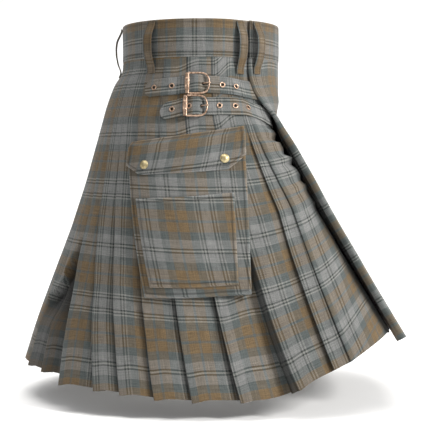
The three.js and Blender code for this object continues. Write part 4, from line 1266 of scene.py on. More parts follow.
@dataclass
class Waistband:
    """The band round the waist and its lap across the front, with topstitching and belt loops."""

    form: Form
    wrap: Wrap
    wardrobe: Wardrobe
    proud: float = 0.8
    thick: float = 2.6
    seam_angle: float = 294.0
    weft_start: float = 50.4
    grooves: tuple[float, ...] = (413.0, 415.2)
    groove_width: float = 0.28
    seam_shade_strength: float = 0.5
    groove_depth: float = 1.5
    loop_width: float = 17.0
    loop_thick: float = 1.8
    loop_seat: float = 0.4
    loop_thread: float = 62.0
    loop_runs: tuple[float, ...] = (3, 8, 14, 24, 36, 50, 62, 72, 80, 88)
    loop_lifts: tuple[float, ...] = (0, 0.6, 4, 9.2, 11, 10.4, 7.6, 4, 0.9, 0)

    def strip(self, name: str, surface: Surface, start: float, end: float, columns: int, node: str) -> bpy.types.Object:
        """One strip of band, a firm double cloth with rolled top and bottom edges.

        Args:
            name: Name of the piece.
            surface: Surface that it follows.
            start: Angle of its first end.
            end: Angle of its other end.
            columns: Columns along it.
            node: CAD node that it stands for.

        Returns:
            The object.
        """
        run = np.array([0, 0.25, 0.9, 2, 5, 5.8, 6.6, 10, 20, 31, 42, 52, 55.4, 56.2, 57, 60, 61.1, 61.75, 62])
        lift = np.array([-0.9, -0.25, 0.3, 0.62, 0.7, 0.45, 0.7, 0.8, 0.85, 0.85, 0.85, 0.8, 0.7, 0.45, 0.7, 0.6,
                         0.3, -0.1, -0.6])
        angle = np.linspace(start, end, columns)[None, :]
        run, lift = run[:, None], lift[:, None]
        wobble = 0.25 * np.sin(angle * 0.19 + run * 0.05) + 0.18 * np.sin(angle * 0.47 - run * 0.11)
        folded = sum(np.exp(-(((angle - place) / self.groove_width) ** 2)) for place in self.grooves)
        outside = surface(angle, run, lift - self.groove_depth * folded
                          + wobble * ease(4, 20, run) * (1 - ease(42, 58, run)))
        inside = surface(angle, run, np.full(lift.shape, self.proud - self.thick) + 0 * angle)
        u = -angle * 2.7 + 0 * run + 60
        cloth = np.stack([u, run + self.weft_start + 0 * angle], -1)
        # Painted shade in the stitched grooves and in the folded grooves at the band's end, with a painted highlight on
        # the rolled edges
        tone = seam_shade_and_highlight(np.minimum(run, BAND_HEIGHT - run), 5.8) * np.ones_like(angle)
        piece = Loom.shell(name, outside, inside, cloth, 50, tone * self.seam_shade_strength + 0.5 * folded)
        self.wardrobe.dress(piece, Slot.BAND, node)
        return piece

    def topstitch(self) -> None:
        """Rows of stitches close to both edges of the band."""
        paths, outs = [], []
        spans = ((self.wrap.body, self.wrap.under_top + 1, self.seam_angle - 1), (self.form.outer, 295.0, 415.0))
        for surface, start, end in spans:
            angle = np.linspace(start, end, 400)
            for run in (5.8, 56.2):
                paths.append(surface(angle, np.full_like(angle, run), np.full_like(angle, 0.5)))
                outs.append(self.form.outward(angle, np.full_like(angle, run)))
        self.wardrobe.sew("stitches_of_waistband", paths, outs, Slot.BAND)

    def loop(self, name: str, angle: float, surface: Surface) -> None:
        """Belt loop: a folded strip sewn at both ends and bowed out between, its edges rolled.

        Args:
            name: CAD node that it stands for.
            angle: Place round the waist.
            surface: Surface that it is sewn to.
        """
        run = np.linspace(3, 88, 46)
        lift = np.interp(run, self.loop_runs, self.loop_lifts)
        kernel = np.array([1, 2, 3, 2, 1]) / 9
        lift = np.convolve(np.pad(lift, 2, mode="edge"), kernel, mode="valid")
        seat = np.where(run < BAND_HEIGHT, self.proud, mix(self.proud, 0, ease(BAND_HEIGHT, 80, run)))
        per_degree = float(self.form.per_degree(np.array(angle), np.array(0.0)))
        side = np.array([1, 0.985, 0.9, 0.66, 0.33, 0, -0.33, -0.66, -0.9, -0.985, -1.0])
        crown = np.array([-0.8, -0.3, 0.05, -0.35, 0.04, 0.1, 0.04, -0.35, 0.05, -0.3, -0.8])
        turn = angle + side[None, :] * self.loop_width / 2 / per_degree
        base = (seat + self.loop_seat + lift)[:, None] + 0.15
        outside = surface(turn, run[:, None], base + self.loop_thick + crown)
        inside = surface(turn, run[:, None], base + np.where(np.abs(side) > 0.95, 0.35, 0.0))
        length = np.concatenate([[0], np.cumsum(np.linalg.norm(np.diff(outside[:, 5], axis=0), axis=1))])
        u = self.loop_thread * THREAD + side[None, :] * self.loop_width / 2
        cloth = np.stack(np.broadcast_arrays(u, length[:, None] + angle), -1)
        # Painted shade on the loop's rolled edges, where its crown dips
        painted_shade = np.broadcast_to(np.clip(-crown, 0, 1), cloth.shape[:2])
        piece = Loom.shell(f"{name}_strip", outside, inside, cloth, 50, painted_shade)
        self.wardrobe.dress(piece, Slot.LOOP, name)
        out = unit(outside[:, 5] - inside[:, 5])
        paths = [outside[:, column] for column in (3, 7)]
        bars = [mix(outside[row, 1], outside[row, 9], np.linspace(0, 1, 12)[:, None]) for row in (1, 44)]
        self.wardrobe.sew(f"{name}_stitches", paths + bars, [out, out, np.repeat(out[1:2], 12, 0),
                                                            np.repeat(out[44:45], 12, 0)], Slot.LOOP)

    def make(self) -> None:
        """Makes both strips of band, their stitches and the belt loops."""
        self.strip("band_of_waist", self.wrap.body, self.wrap.under_top, self.seam_angle - 0.1, 420, "waistband")
        self.strip("band_of_apron", self.form.outer, self.seam_angle + 0.1, 416.0, 640, "apron_waistband")
        self.topstitch()
        places = {
            "belt_loop_back": (180, self.wrap.body), "belt_loop_right_rear": (122, self.wrap.body),
            "belt_loop_right_side": (63, self.wrap.body), "belt_loop_apron_right": (50.5, self.form.outer),
            "belt_loop_apron_left": (-52, self.form.outer), "belt_loop_left_rear": (238, self.wrap.body),
        }
        for name, (angle, surface) in places.items():
            self.loop(name, float(angle), surface)


class Hardware:
    """Shared steps for the metal pieces."""

    @staticmethod
    def smooth_loop(outline: Array, count: int) -> Array:
        """Closed curve through an outline: a cubic between points that keeps each point's slope.

        Args:
            outline: Corner points in order.
            count: Points of the curve.

        Returns:
            Points, count by 2.
        """
        size = len(outline)
        t = np.linspace(0, size, count, endpoint=False)
        i = t.astype(int)
        f = (t - i)[:, None]
        p0, p1, p2, p3 = (outline[(i + k) % size] for k in (-1, 0, 1, 2))
        m1, m2 = (p2 - p0) / 2, (p3 - p1) / 2
        start = (2 * f**3 - 3 * f**2 + 1) * p1 + (f**3 - 2 * f**2 + f) * m1
        return start + (3 * f**2 - 2 * f**3) * p2 + (f**3 - f**2) * m2

    @staticmethod
    def curve(x: Array, z: Array, at: Array) -> Array:
        """Smooth height through points, a cubic between them that keeps each point's slope."""
        slope = np.gradient(z, x)
        low = np.clip(np.searchsorted(x, at, side="right") - 1, 0, len(x) - 2)
        width = x[low + 1] - x[low]
        t = (at - x[low]) / width
        start = (2 * t**3 - 3 * t**2 + 1) * z[low] + (t**3 - 2 * t**2 + t) * width * slope[low]
        return start + (3 * t**2 - 2 * t**3) * z[low + 1] + (t**3 - t**2) * width * slope[low + 1]

    @staticmethod
    def gather(parts: list[tuple[Array, list[Array]]]) -> tuple[Array, list[Array]]:
        """Joins several sets of points and faces into one."""
        points, faces, first = [], [], 0
        for part_points, part_faces in parts:
            points.append(part_points)
            faces += [block + first for block in part_faces]
            first += len(part_points)
        return np.concatenate(points), faces

    @staticmethod
    def finish(piece: bpy.types.Object) -> None:
        """Merges doubled points and turns every face outwards."""
        mesh = bmesh.new()
        mesh.from_mesh(piece.data)
        bmesh.ops.remove_doubles(mesh, verts=mesh.verts, dist=1e-6)
        bmesh.ops.recalc_face_normals(mesh, faces=mesh.faces)
        mesh.to_mesh(piece.data)
        mesh.free()


@dataclass
class HipStrap:
    """A buckled hip strap with its eyelets, chape, buckle and prong."""

    form: Form
    wrap: Wrap
    wardrobe: Wardrobe
    place: str
    buckle: tuple[float, float]
    angles: tuple[float, ...]
    middle_runs: tuple[float, ...]
    eyelets: tuple[float, ...]
    weft_top: float
    warp_start: float
    window_eyelets: tuple[float, ...] = ()
    width: float = 29.0
    thick: float = 2.0
    lift: float = 0.5
    ease_off: float = 1.8
    chape_length: float = 25.0
    chape_width: float = 24.0
    hump: float = 5.8
    over_chape: float = 2.2
    hole: float = 2.5
    hole_reach: float = 6.0
    outer_ring: float = 4.7
    bar_height: float = 2.9
    frame_height: float = 5.9
    frame_half: float = 16.8
    rod: float = 1.5

    def along(self, angle: Array) -> Array:
        """Distance along the hip from the buckle's middle, towards the wearer's front."""
        at, run = self.buckle
        span = self.wrap.body(at - 5.0, run, 0.0) - self.wrap.body(at + 5.0, run, 0.0)
        return (at - np.asarray(angle, float)) * float(np.linalg.norm(span)) / 10

    def lower_lift(self, angle: Array) -> Array:
        """Lift of the strap's lower side over the chape, over the bar, under the frame and into the wrap."""
        along = self.along(angle)
        behind = mix(self.lift, self.over_chape, ease(-self.chape_length - 8, -self.chape_length - 1, along))
        resting = np.where(along < 0, behind, self.lift)
        hump = ease(-14, -3.5, along) * (1 - ease(3, 11, along))
        return mix(resting, self.hump, hump) + self.ease_off * (1 - ease(50, 62, angle))

    def run_at(self, angle: Array) -> Array:
        """Run of the strap's middle line."""
        return np.interp(angle, self.angles, self.middle_runs)

    def spot(self, angle: float) -> tuple[Array, Array]:
        """Middle of the strap's thickness at an angle, and its directions.

        Args:
            angle: Place round the hip.

        Returns:
            The point, and three unit vectors as rows.
        """
        run = float(self.run_at(angle))
        upper = self.strap_surface(angle, run - self.width / 2, self.thick / 2)
        lower = self.strap_surface(angle, run + self.width / 2, self.thick / 2)
        return (upper + lower) / 2, surface_directions(self.strap_surface, angle, run)

    def strap_surface(self, angle: Array, run: Array, lift: Array) -> Array:
        """Point moved out from the strap's lower side.

        Args:
            angle: Degrees round from the front.
            run: Cloth length down from the top edge.
            lift: Distance out.

        Returns:
            Points.
        """
        return self.wrap.body(angle, run, lift + self.lower_lift(angle))

    def holes(self) -> list[float]:
        """Angles of the eyelets and of the prong's hole."""
        per_degree = float(self.along(np.array(self.buckle[0] - 1.0)))
        return [*self.eyelets, *self.window_eyelets, self.buckle[0] - 8.5 / per_degree]

    def make_strap(self) -> None:
        """Strap: a doubled strip with rolled edges and a rounded tip, its grid opened round each hole."""
        first, tip = self.angles[0], self.angles[-1]
        angle = np.concatenate([np.linspace(first, tip - 5, 190), tip - 5 * (1 - np.linspace(0, 1, 22)[1:] ** 0.6)])
        from_tip = np.clip((tip - angle) / 4.4, 0, 1)
        half = self.width / 2 * np.sqrt(np.clip(1 - (1 - from_tip) ** 2, 0.02, 1))
        side = np.concatenate([[-1, -0.985, -0.93], np.linspace(-0.84, 0.84, 23), [0.93, 0.985, 1]])
        rolled = np.interp(np.abs(side), [0, 0.7, 0.8, 0.86, 0.93, 0.985, 1], [0, 0, -0.18, -0.02, -0.15, -0.6, -1])
        spots = np.stack(np.broadcast_arrays(angle[:, None], side[None, :] * half[:, None]), -1)
        per_degree = float(self.along(np.array(self.buckle[0] - 1.0)))
        for hole in self.holes():
            offset = np.stack([(spots[..., 0] - hole) * per_degree, spots[..., 1]], -1)
            distance = np.linalg.norm(offset, axis=-1, keepdims=True)
            reach = self.hole + (self.outer_ring + 1.6 - self.hole) * distance / (self.outer_ring + 1.6)
            pushed = offset / np.maximum(distance, 1e-6) * reach
            offset = np.where(distance < self.outer_ring + 1.6, pushed, offset)
            spots = np.stack([hole + offset[..., 0] / per_degree, offset[..., 1]], -1)
        where, across = spots[..., 0], spots[..., 1]
        run = self.run_at(where) + across
        lift = self.lower_lift(where)
        wobble = 0.22 * np.sin(where * 1.3 + across * 0.1) * (1 - ease(self.buckle[0] - 10, self.buckle[0] - 8, where))
        outside = self.wrap.body(where, run, lift + self.thick + rolled[None, :] + wobble * (np.abs(side) < 0.8))
        inside = self.wrap.body(where, run, lift + 0 * rolled[None, :])
        cloth = np.stack([self.along(where) + self.warp_start, across + self.weft_top], -1)
        piece = Loom.shell(f"strap_{self.place}_cloth", outside, inside, cloth, 45)
        piece = self.open_holes(piece)
        self.wardrobe.dress(piece, Slot.STRAP, f"strap_{self.place}")
        out = unit(outside[:, 14] - inside[:, 14])
        paths = [outside[4:-8, 4], outside[4:-8, -5]]
        self.wardrobe.sew(f"strap_{self.place}_stitches", paths, [out[4:-8], out[4:-8]], Slot.STRAP)

    def open_holes(self, piece: bpy.types.Object) -> bpy.types.Object:
        """Takes out the cloth inside each hole, on both faces, and joins the two rims with a short wall.

        Args:
            piece: The strap, which is made anew.

        Returns:
            The strap with its holes.
        """
        mesh = piece.data
        points = Loom.read(mesh.vertices, "co", 3) / METRE
        corner = Loom.read(mesh.loops, "vertex_index", 1).astype(int).ravel()
        quads = corner.reshape(-1, 4)
        cloth = np.zeros((len(points), 2))
        cloth[corner] = Loom.read(mesh.uv_layers["Cloth"].data, "uv", 2) / METRE
        centre = points[quads].mean(1)
        inside = np.zeros(len(quads), bool)
        for hole in self.holes():
            middle, (around, upward, outward) = self.spot(hole)
            away = centre - middle
            near = np.hypot(away @ around, away @ upward) < self.hole
            inside |= near & (np.abs(away @ outward) < self.hole_reach)
        kept = quads[~inside]
        total = len(points) // 2
        edges = np.stack([kept, np.roll(kept, -1, axis=1)], -1).reshape(-1, 2)
        keys = edges[:, 0] * len(points) + edges[:, 1]
        open_side = ~np.isin(keys, edges[:, 1] * len(points) + edges[:, 0]) & (edges < total).all(1)
        rims = edges[open_side]
        wall = np.stack([rims[:, 1], rims[:, 0], rims[:, 0] + total, rims[:, 1] + total], -1)
        name = piece.name
        bpy.data.objects.remove(piece)
        bpy.data.meshes.remove(mesh)
        return Loom.write(name, points, [kept, wall], cloth, 45)

    def placed(self, points: Array, middle: Array, axes: Array) -> Array:
        """Local points moved to a place: middle plus x, y and z times the three directions."""
        return middle + points @ axes

    def make_eyelets(self) -> None:
        """Eyelets: rolled rings with a rounded lip that reaches through the hole."""
        turn = np.linspace(0, 2 * math.pi, 17)[:-1]
        for index, angle in enumerate((*self.eyelets, *self.window_eyelets)):
            middle, axes = self.spot(angle)
            centre = (self.hole + self.outer_ring) / 2 + 0.1
            half = (self.outer_ring - self.hole) / 2 - 0.1
            low = self.thick / 2 + 0.25
            ring = np.stack([centre + half * np.cos(turn), low + 0.5 + 0.5 * np.sin(turn)], -1)
            points, faces = Loom.turned(np.concatenate([ring, ring[:1]]), 36)
            name = f"eyelet_{self.place}_{index + 1}"
            piece = Loom.write(f"{name}_ring", self.placed(points, middle, axes), faces, None, 60)
            Hardware.finish(piece)
            self.wardrobe.dress(piece, Slot.COPPER, *([name] if index < len(self.eyelets) else []))

    def buckle_frame(self) -> tuple[Array, Array]:
        """Origin and directions of the buckle, on the body cloth."""
        at, run = self.buckle
        return self.wrap.body(at, run, 0.0), surface_directions(self.wrap.body, at, run)

    def make_buckle(self) -> None:
        """Buckle: a thin D-shaped rod, a broad chased bar at the rear and a hidden bar across the middle."""
        middle, axes = self.buckle_frame()
        half = self.frame_half
        outline = np.array([(-16, -15.4), (-9, -half), (4, -half), (12.5, -14.8), (17, -8.8), (18.4, 0),
                            (17, 8.8), (12.5, 14.8), (4, half), (-9, half), (-16, 15.4), (-17, 0)])
        loop = Hardware.smooth_loop(outline, 96)
        path = np.column_stack([loop, np.full(len(loop), self.frame_height)])
        parts = [Loom.rod(path, np.full(len(path), self.rod), 12, True)]
        s = np.linspace(-1, 1, 41)
        across = 1 - 0.35 * np.abs(s) ** 3
        chasing = 0.18 * np.sin(s * 46) + 0.12 * np.sin(s * 71 + 1)
        turn = np.linspace(0, 2 * math.pi, 25)[:-1]
        power = 0.55
        shape_x = np.sign(np.cos(turn)) * np.abs(np.cos(turn)) ** power
        shape_z = np.sign(np.sin(turn)) * np.abs(np.sin(turn)) ** power
        bulge = across[:, None] * 3.7 * shape_x[None, :] - 17 + 0.9 * (s[:, None] ** 2 - 1) * 0.6
        rise = self.frame_height + (1.5 + chasing[:, None] * (shape_z[None, :] > 0.6)) * shape_z[None, :]
        bar = np.stack([bulge, (s * (half + 0.5))[:, None] + 0 * turn, rise], -1)
        number = np.arange(41 * 24).reshape(41, 24)
        faces = [Loom.grid_faces(41, 24, closed=True), number[:1], number[-1:][:, ::-1]]
        parts.append((bar.reshape(-1, 3), faces))
        stub = half - 0.2
        y = np.linspace(-stub, stub, 41)
        drop = ease(stub - 2.6, stub, np.abs(y))
        hidden = np.column_stack([0 * y, y, mix(self.bar_height, self.frame_height, drop)])
        parts.append(Loom.rod(hidden, np.full(41, 0.9), 10, False))
        points, faces = Hardware.gather(parts)
        piece = Loom.write(f"buckle_{self.place}_metal", self.placed(points, middle, axes), faces, None, 50)
        Hardware.finish(piece)
        self.wardrobe.dress(piece, Slot.COPPER, f"buckle_{self.place}")

    def make_prong(self) -> None:
        """Prong: a rod from the hidden bar, up through the strap's hole and over the frame's curve."""
        middle, axes = self.buckle_frame()
        x = np.array([1.5, 4, 6.2, 8.5, 11, 15, 19, 21])
        z = np.array([2.9, 2.55, 2.7, 4.1, 5.9, 8.1, 8.9, 8.7])
        fine = np.linspace(1.5, 21, 40)
        path = np.column_stack([fine, 0 * fine, Hardware.curve(x, z, fine)])
        radius = 1.1 * np.sqrt(np.clip((21.6 - fine) / 2.4, 0.05, 1)) * (0.9 + 0.1 * ease(15, 19, fine))
        points, faces = Loom.rod(path, radius, 12, False)
        piece = Loom.write(f"prong_{self.place}_metal", self.placed(points, middle, axes), faces, None, 50)
        Hardware.finish(piece)
        self.wardrobe.dress(piece, Slot.COPPER, f"prong_{self.place}")

    def make_chape(self) -> None:
        """Chape: a strip sewn to the body behind the buckle, its end turned round the hidden bar."""
        at, run = self.buckle
        middle, axes = self.buckle_frame()
        turn = np.radians(np.linspace(-90, 200, 24))
        reach = 0.9 + 0.3 + 0.6
        tab = np.linspace(-self.chape_length, -2, 16)
        x = np.concatenate([tab, reach * np.cos(turn)])
        z = np.concatenate([np.full(16, 1.2), self.bar_height + reach * np.sin(turn)])
        y = np.linspace(-self.chape_width / 2, self.chape_width / 2, 13)
        x, z = x[:, None] + 0 * y, z[:, None] + 0 * y
        per_degree = float(self.along(np.array(at - 1.0)))
        straight = middle + x[..., None] * axes[0] + (y + 0 * x)[..., None] * axes[1] + z[..., None] * axes[2]
        bent = self.wrap.body(at - x / per_degree, run - y + 0 * x, z)
        share = ease(-9, -3, x)[..., None]
        points = straight * share + bent * (1 - share)
        cloth = np.stack([x, y + 0 * x + self.weft_top], -1)
        piece = Loom.sheet(f"chape_{self.place}_cloth", points, 1.0, cloth, 50)
        self.wardrobe.dress(piece, Slot.STRAP, f"chape_{self.place}")

    def make(self) -> None:
        """Makes the strap and everything on it."""
        self.make_eyelets()
        self.make_strap()
        self.make_buckle()
        self.make_prong()
        self.make_chape()


@dataclass(frozen=True)
class Panel:
    """Four-cornered panel in angle and run, the rear edge first."""

    left: float
    left_top: float
    left_low: float
    left_bottom: float
    right: float
    right_top: float
    right_low: float
    right_bottom: float

    def spot(self, across: Array, down: Array) -> tuple[Array, Array]:
        """Angle and run at shares across from the rear edge and down from the top."""
        rear = mix(self.left, self.left_low, down), mix(self.left_top, self.left_bottom, down)
        front = mix(self.right, self.right_low, down), mix(self.right_top, self.right_bottom, down)
        return mix(rear[0], front[0], across), mix(rear[1], front[1], across)


@dataclass
class CargoPocket:
    """A two-tier cargo pocket with a snapped flap, on one side of the skirt."""

    form: Form
    wardrobe: Wardrobe
    place: str
    side: int
    bag: Panel = Panel(128, 226, 110.2, 462, 67.6, 205, 71.0, 452)
    patch: Panel = Panel(118.7, 304, 108.2, 446, 74.5, 290, 75.4, 438)
    flap: Panel = Panel(127.2, 206, 127.0, 266, 66.8, 177, 68.2, 249)
    seat: float = 0.3
    bag_stand: float = 5.2
    patch_stand: float = 9.6
    flap_seat: float = 0.5
    flap_lift: float = 6.2
    flap_thick: float = 2.2
    cloth: float = 1.3
    stitch_row: float = 6.0

    def spots(self, panel: Panel, across: Array, down: Array) -> tuple[Array, Array]:
        """Angle on this side and run for shares across and down."""
        angle, run = panel.spot(across, down)
        return self.side * angle, run

    def tray(self, name: str, panel: Panel, seat: float, stand: float, u0: float, v0: float, node: str) -> None:
        """Pocket shell standing off what it is sewn to, rounded over at its sides and bottom, open at the top.

        Args:
            name: Name of the piece.
            panel: Its corners.
            seat: Lift of its edges.
            stand: Lift of its face.
            u0: Cloth coordinate at the rear edge.
            v0: Added to the run for the cloth coordinate down.
            node: CAD node that it stands for.
        """
        top_corners = self.form.ring((panel.left, panel.right), (panel.left_top, panel.right_top))
        width = float(np.linalg.norm(top_corners[0] - top_corners[1]) * 1.05)
        edge = np.array([0, 0.15, 0.5, 1.1, 2.0, 3.2, 4.6, 6, 7.4, 9])
        roll = np.array([0, 0.35, 0.62, 0.82, 0.94, 0.99, 1.0, 0.965, 0.95, 1.0])
        across = np.concatenate([edge / width, np.linspace(12 / width, 1 - 12 / width, 44), 1 - edge[::-1] / width])
        height = panel.left_bottom - panel.left_top
        hem = np.array([0, 0.6, 2, 3.2, 4.6, 6, 7.4])
        down = np.concatenate([hem / height, np.linspace(9 / height, 1 - 12 / height, 34), 1 - edge[::-1] / height])
        side_roll = np.concatenate([roll, np.ones(44), roll[::-1]])
        low_roll = np.concatenate([np.ones(len(hem) + 34), roll[::-1]])
        shape = np.minimum(side_roll[None, :], low_roll[:, None])
        across, down = np.meshgrid(across, down)
        angle, run = self.spots(panel, across, down)
        middle = 4 * across * (1 - across)
        belly = 1.5 * middle * np.sin(np.pi * np.clip(down, 0, 1)) - 0.9 * np.exp(-((down - 0.02) / 0.05) ** 2) * middle
        ripple = 0.5 * np.sin(across * 17 + down * 4 + self.side) * np.sin(down * 9 + across * 3) * middle
        mouth = 0.55 * np.exp(-((down * height - 3.2) / 3.0) ** 2)
        lift = seat + (stand - seat) * shape + (belly + ripple + mouth) * (shape > 0.9)
        inner = np.maximum(seat, lift - self.cloth)
        inset = 1.25 / width
        inner_across = np.clip(across, inset, 1 - inset)
        inner_down = np.minimum(down, 1 - 1.25 / height)
        inner_angle, inner_run = self.spots(panel, inner_across, inner_down)
        outside = self.form.outer(angle, run, lift)
        inside = self.form.outer(inner_angle, inner_run, inner)
        gap = np.linalg.norm(np.diff(outside, axis=1), axis=-1)
        u = u0 + np.concatenate([np.zeros((len(outside), 1)), np.cumsum(gap, 1)], 1)
        cloth = np.stack([u, run + v0], -1)
        # Painted shade along the stitch rows and a painted highlight on the rolled edges
        from_side = np.minimum(across, 1 - across) * width
        from_edge = np.minimum(from_side, (1 - down) * height)
        tone = seam_shade_and_highlight(from_edge, self.stitch_row) + seam_shade_and_highlight(down * height, self.stitch_row)
        piece = Loom.shell(name, outside, inside, cloth, 50, np.clip(tone, -0.55, 0.9))
        self.wardrobe.dress(piece, Slot.POCKET, node)
        paths, outs = [], []
        for column in (7, -8):
            paths.append(outside[5:-8, column])
            outs.append(self.form.outward(angle[5:-8, column], run[5:-8, column]))
        for row in (5, -8):
            paths.append(outside[row, 8:-8])
            outs.append(self.form.outward(angle[row, 8:-8], run[row, 8:-8]))
        self.wardrobe.sew(f"{name}_stitches", paths, outs, Slot.POCKET)

    def make_flap(self) -> None:
        """Flap: a doubled panel with cut lower corners, held down at its top seam and free below."""
        panel = self.flap
        across = np.unique(np.concatenate([[0, 0.004, 0.012, 0.03, 0.97, 0.988, 0.996, 1], np.linspace(0.05, 0.95, 56)]))
        down = np.concatenate([[0, 0.01, 0.03, 0.06], np.linspace(0.1, 0.9, 22), [0.93, 0.955, 0.975, 0.99, 1]])
        across, down = np.meshgrid(across, down)
        from_side = np.minimum(across, 1 - across)
        reach = 1 - 0.3 * (1 - np.minimum(from_side / 0.14, 1))
        angle, run = self.spots(panel, across, down * reach)
        lift = mix(self.flap_seat, self.flap_lift, ease(0, 0.22, down))
        rim = np.minimum(np.interp(from_side * 195, [0, 0.8, 2.2, 4.6, 6, 7.5], [-1.7, -0.5, 0, 0, -0.28, 0]),
                         np.interp((1 - down) * 62, [0, 0.7, 1.8, 4.6, 6, 7.5], [-1.7, -0.5, 0, 0, -0.28, 0]))
        rim = np.minimum(rim, np.interp(down * 62, [0, 0.7, 1.8, 3.4, 4.4, 5.6], [-1.7, -0.5, 0, 0, -0.3, 0]))
        wave = 0.9 * ease(0.3, 1, down) * np.sin(across * 8.2 + 0.6) + 0.35 * np.sin(across * 23 + down * 5)
        pressed = sum(np.exp(-(((across - a) * 195) ** 2 + ((down - 0.74) * 62) ** 2) / 150) for a in (0.18, 0.83))
        outside = self.form.outer(angle, run, lift + self.flap_thick + rim + wave * (1 - pressed) * 0.8)
        inside = self.form.outer(angle, run, lift + wave * (1 - pressed) * 0.25)
        gap = np.linalg.norm(np.diff(outside, axis=1), axis=-1)
        u = np.concatenate([np.zeros((len(outside), 1)), np.cumsum(gap, 1)], 1) - 58.5
        drop = np.concatenate([np.zeros((1, outside.shape[1])), np.cumsum(np.linalg.norm(np.diff(outside, axis=0), axis=-1), 0)])
        cloth = np.stack([u, drop - 62 + 385], -1)
        name = f"pocket_flap_{self.place}"
        # Painted shade along the stitch rows and a painted highlight on the rolled edges
        from_edge = np.minimum(from_side * 195, (1 - down) * 62)
        tone = seam_shade_and_highlight(from_edge, self.stitch_row) + seam_shade_and_highlight(down * 62, 4.4)
        piece = Loom.shell(f"{name}_cloth", outside, inside, cloth, 50, np.clip(tone, -0.55, 0.9))
        self.wardrobe.dress(piece, Slot.POCKET, name)
        rows, columns = outside.shape[:2]
        side_columns = (6, columns - 7)
        paths = [outside[3, 4:-4], outside[-4, 4:-4]] + [outside[3:-4, column] for column in side_columns]
        places = [(3, slice(4, -4)), (-4, slice(4, -4))] + [(slice(3, -4), column) for column in side_columns]
        outs = [self.form.outward(angle[row, column], run[row, column]) for row, column in places]
        self.wardrobe.sew(f"{name}_stitches", paths, outs, Slot.POCKET)

    def make_snaps(self) -> None:
        """Snaps: a domed cap with a rolled rim and a shallow ring round its crown."""
        profile = np.array([(0, 0), (7.0, 0), (7.35, 0.25), (7.4, 0.7), (7.1, 1.15), (6.5, 1.3), (6.1, 1.15),
                            (5.7, 1.35), (4.9, 2.1), (3.9, 2.75), (2.6, 3.15), (1.2, 3.36), (0, 3.4)])
        for end, across in (("rear", 0.18), ("front", 0.83)):
            angle, run = self.spots(self.flap, np.array(across), np.array(0.74))
            points, faces = Loom.turned(profile, 40)
            middle = self.form.outer(angle, run, self.flap_lift + self.flap_thick + 0.35)
            axes = surface_directions(self.form.outer, float(angle), float(run))
            piece = Loom.write(f"snap_{end}_{self.place}_cap", middle + points @ axes, faces, None, 50)
            Hardware.finish(piece)
            self.wardrobe.dress(piece, Slot.BRASS, f"snap_{end}_{self.place}")

    def make(self) -> None:
        """Makes the pocket, its patch, its flap and its snaps."""
        self.tray(f"pocket_{self.place}_cloth", self.bag, self.seat, self.bag_stand, -71.6, 98.4, f"pocket_{self.place}")
        self.tray(f"pocket_patch_{self.place}_cloth", self.patch, self.bag_stand + self.seat, self.patch_stand,
                  -21, -3, f"pocket_patch_{self.place}")
        self.make_snaps()
        self.make_flap()


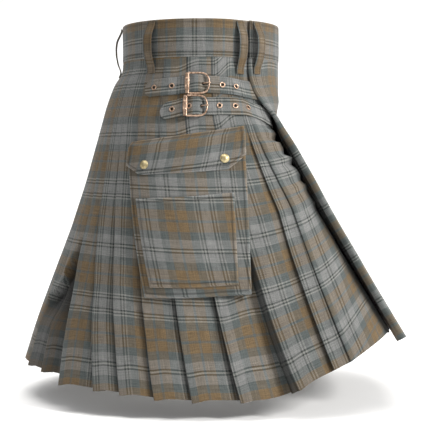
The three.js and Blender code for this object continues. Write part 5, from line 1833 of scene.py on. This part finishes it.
class Studio:
    """Pale floor and backdrop, soft lights, and the camera at the photo's place."""

    def __init__(self) -> None:
        """Sets the sizes of the room, in metres."""
        self.floor = -0.602

    def make_backdrop(self) -> None:
        """Floor that curves up into a backdrop, pale and matt."""
        depth = np.concatenate([np.linspace(-3.5, 2.2, 20), 2.2 + np.sin(np.linspace(0, 1, 12)[1:] * math.pi / 2)])
        rise = np.concatenate([np.zeros(20), 1 - np.cos(np.linspace(0, 1, 12)[1:] * math.pi / 2)])
        depth, rise = np.append(depth, 3.2), np.append(rise, 4.0)
        across = np.linspace(-4, 4, 9)
        points = np.stack(np.broadcast_arrays(depth[:, None], across[None, :], rise[:, None] + self.floor), -1)
        faces = Loom.grid_faces(len(depth), 9)[:, ::-1]
        piece = Loom.write("studio_backdrop", points.reshape(-1, 3) / METRE, [faces], None, 60)
        bench = NodeBench("studio_paper")
        place = bench.add("ShaderNodeTexCoord").outputs["Object"]
        grain = bench.noise(place, 30.0, 2.0)
        colour = bench.blend("MIX", grain, (0.93, 0.93, 0.93), (0.95, 0.95, 0.95))
        bench.join(colour, bench.shader.inputs["Base Color"])
        bench.shader.inputs["Roughness"].default_value = 0.95
        bench.shader.inputs["Specular IOR Level"].default_value = 0.1
        piece.data.materials.append(bench.material)

    def light(self, name: str, place: tuple[float, float, float], size: float, power: float) -> None:
        """Square soft light aimed at the kilt's middle.

        Args:
            name: Name of the light.
            place: Where it hangs.
            size: Its side.
            power: Its power in watts.
        """
        lamp = bpy.data.lights.new(name, "AREA")
        lamp.size, lamp.energy = size, power
        lamp.color = (1.0, 0.985, 0.965)
        holder = bpy.data.objects.new(name, lamp)
        holder.location = place
        away = np.array(place) - np.array([0, 0, -0.25])
        pitch = math.atan2(math.hypot(away[0], away[1]), away[2])
        holder.rotation_euler = (pitch, 0, math.atan2(away[0], -away[1]))
        bpy.context.scene.collection.objects.link(holder)

    def make(self) -> None:
        """Makes the room, lights, world and camera."""
        self.make_backdrop()
        self.light("key_light", (-1.55, -2.2, 1.15), 0.7, 92)
        self.light("fill_light", (-2.3, 1.2, 1.0), 1.2, 1.5)
        self.light("top_light", (-0.1, 0.0, 2.4), 2.4, 66)
        self.light("rear_light", (2.2, 0.6, 1.6), 2.0, 50)
        world = bpy.data.worlds.new("studio_air")
        world.use_nodes = True
        world.node_tree.nodes["Background"].inputs[0].default_value = (0.98, 0.99, 1.0, 1.0)
        world.node_tree.nodes["Background"].inputs[1].default_value = 0.40
        bpy.context.scene.world = world
        bpy.context.scene.view_settings.view_transform = "Standard"
        camera = bpy.data.cameras.new("photo_camera")
        camera.lens, camera.sensor_width = 105.0, 36.0
        camera.clip_start, camera.clip_end = 0.05, 50.0
        holder = bpy.data.objects.new("photo_camera", camera)
        holder.location = (-2.2, -0.025, -0.2006)
        holder.rotation_euler = (math.radians(90 - 2.466), 0, math.radians(-90))
        bpy.context.scene.collection.objects.link(holder)
        bpy.context.scene.camera = holder


def main() -> None:
    """Builds every class in order."""
    logging.basicConfig(level=logging.INFO, format="%(name)s: %(message)s")
    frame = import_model()
    log.info("frame with %d nodes", len(frame["nodes"]))
    form = Form()
    wrap = Wrap(form)
    wardrobe = Wardrobe()
    Studio().make()
    SkirtCloth(form, wrap, wardrobe).make()
    Waistband(form, wrap, wardrobe).make()
    HipStrap(form, wrap, wardrobe, "upper", (91, 107), (42, 58, 68, 77, 91, 106, 124),
             (117, 113, 111, 109, 107, 110.5, 114), (68.2, 76.8, 106.2, 117.5), 104.0, 30.0).make()
    HipStrap(form, wrap, wardrobe, "lower", (92, 145), (38, 52, 65, 79, 92, 99, 112),
             (164, 153, 144.5, 144, 145, 146, 154), (62.5, 70.2, 79, 105.2), 94.0, 70.0, (95.4,)).make()
    for place, side in (("right", 1), ("left", -1)):
        CargoPocket(form, wardrobe, place, side).make()


if __name__ == "__main__":
    main()
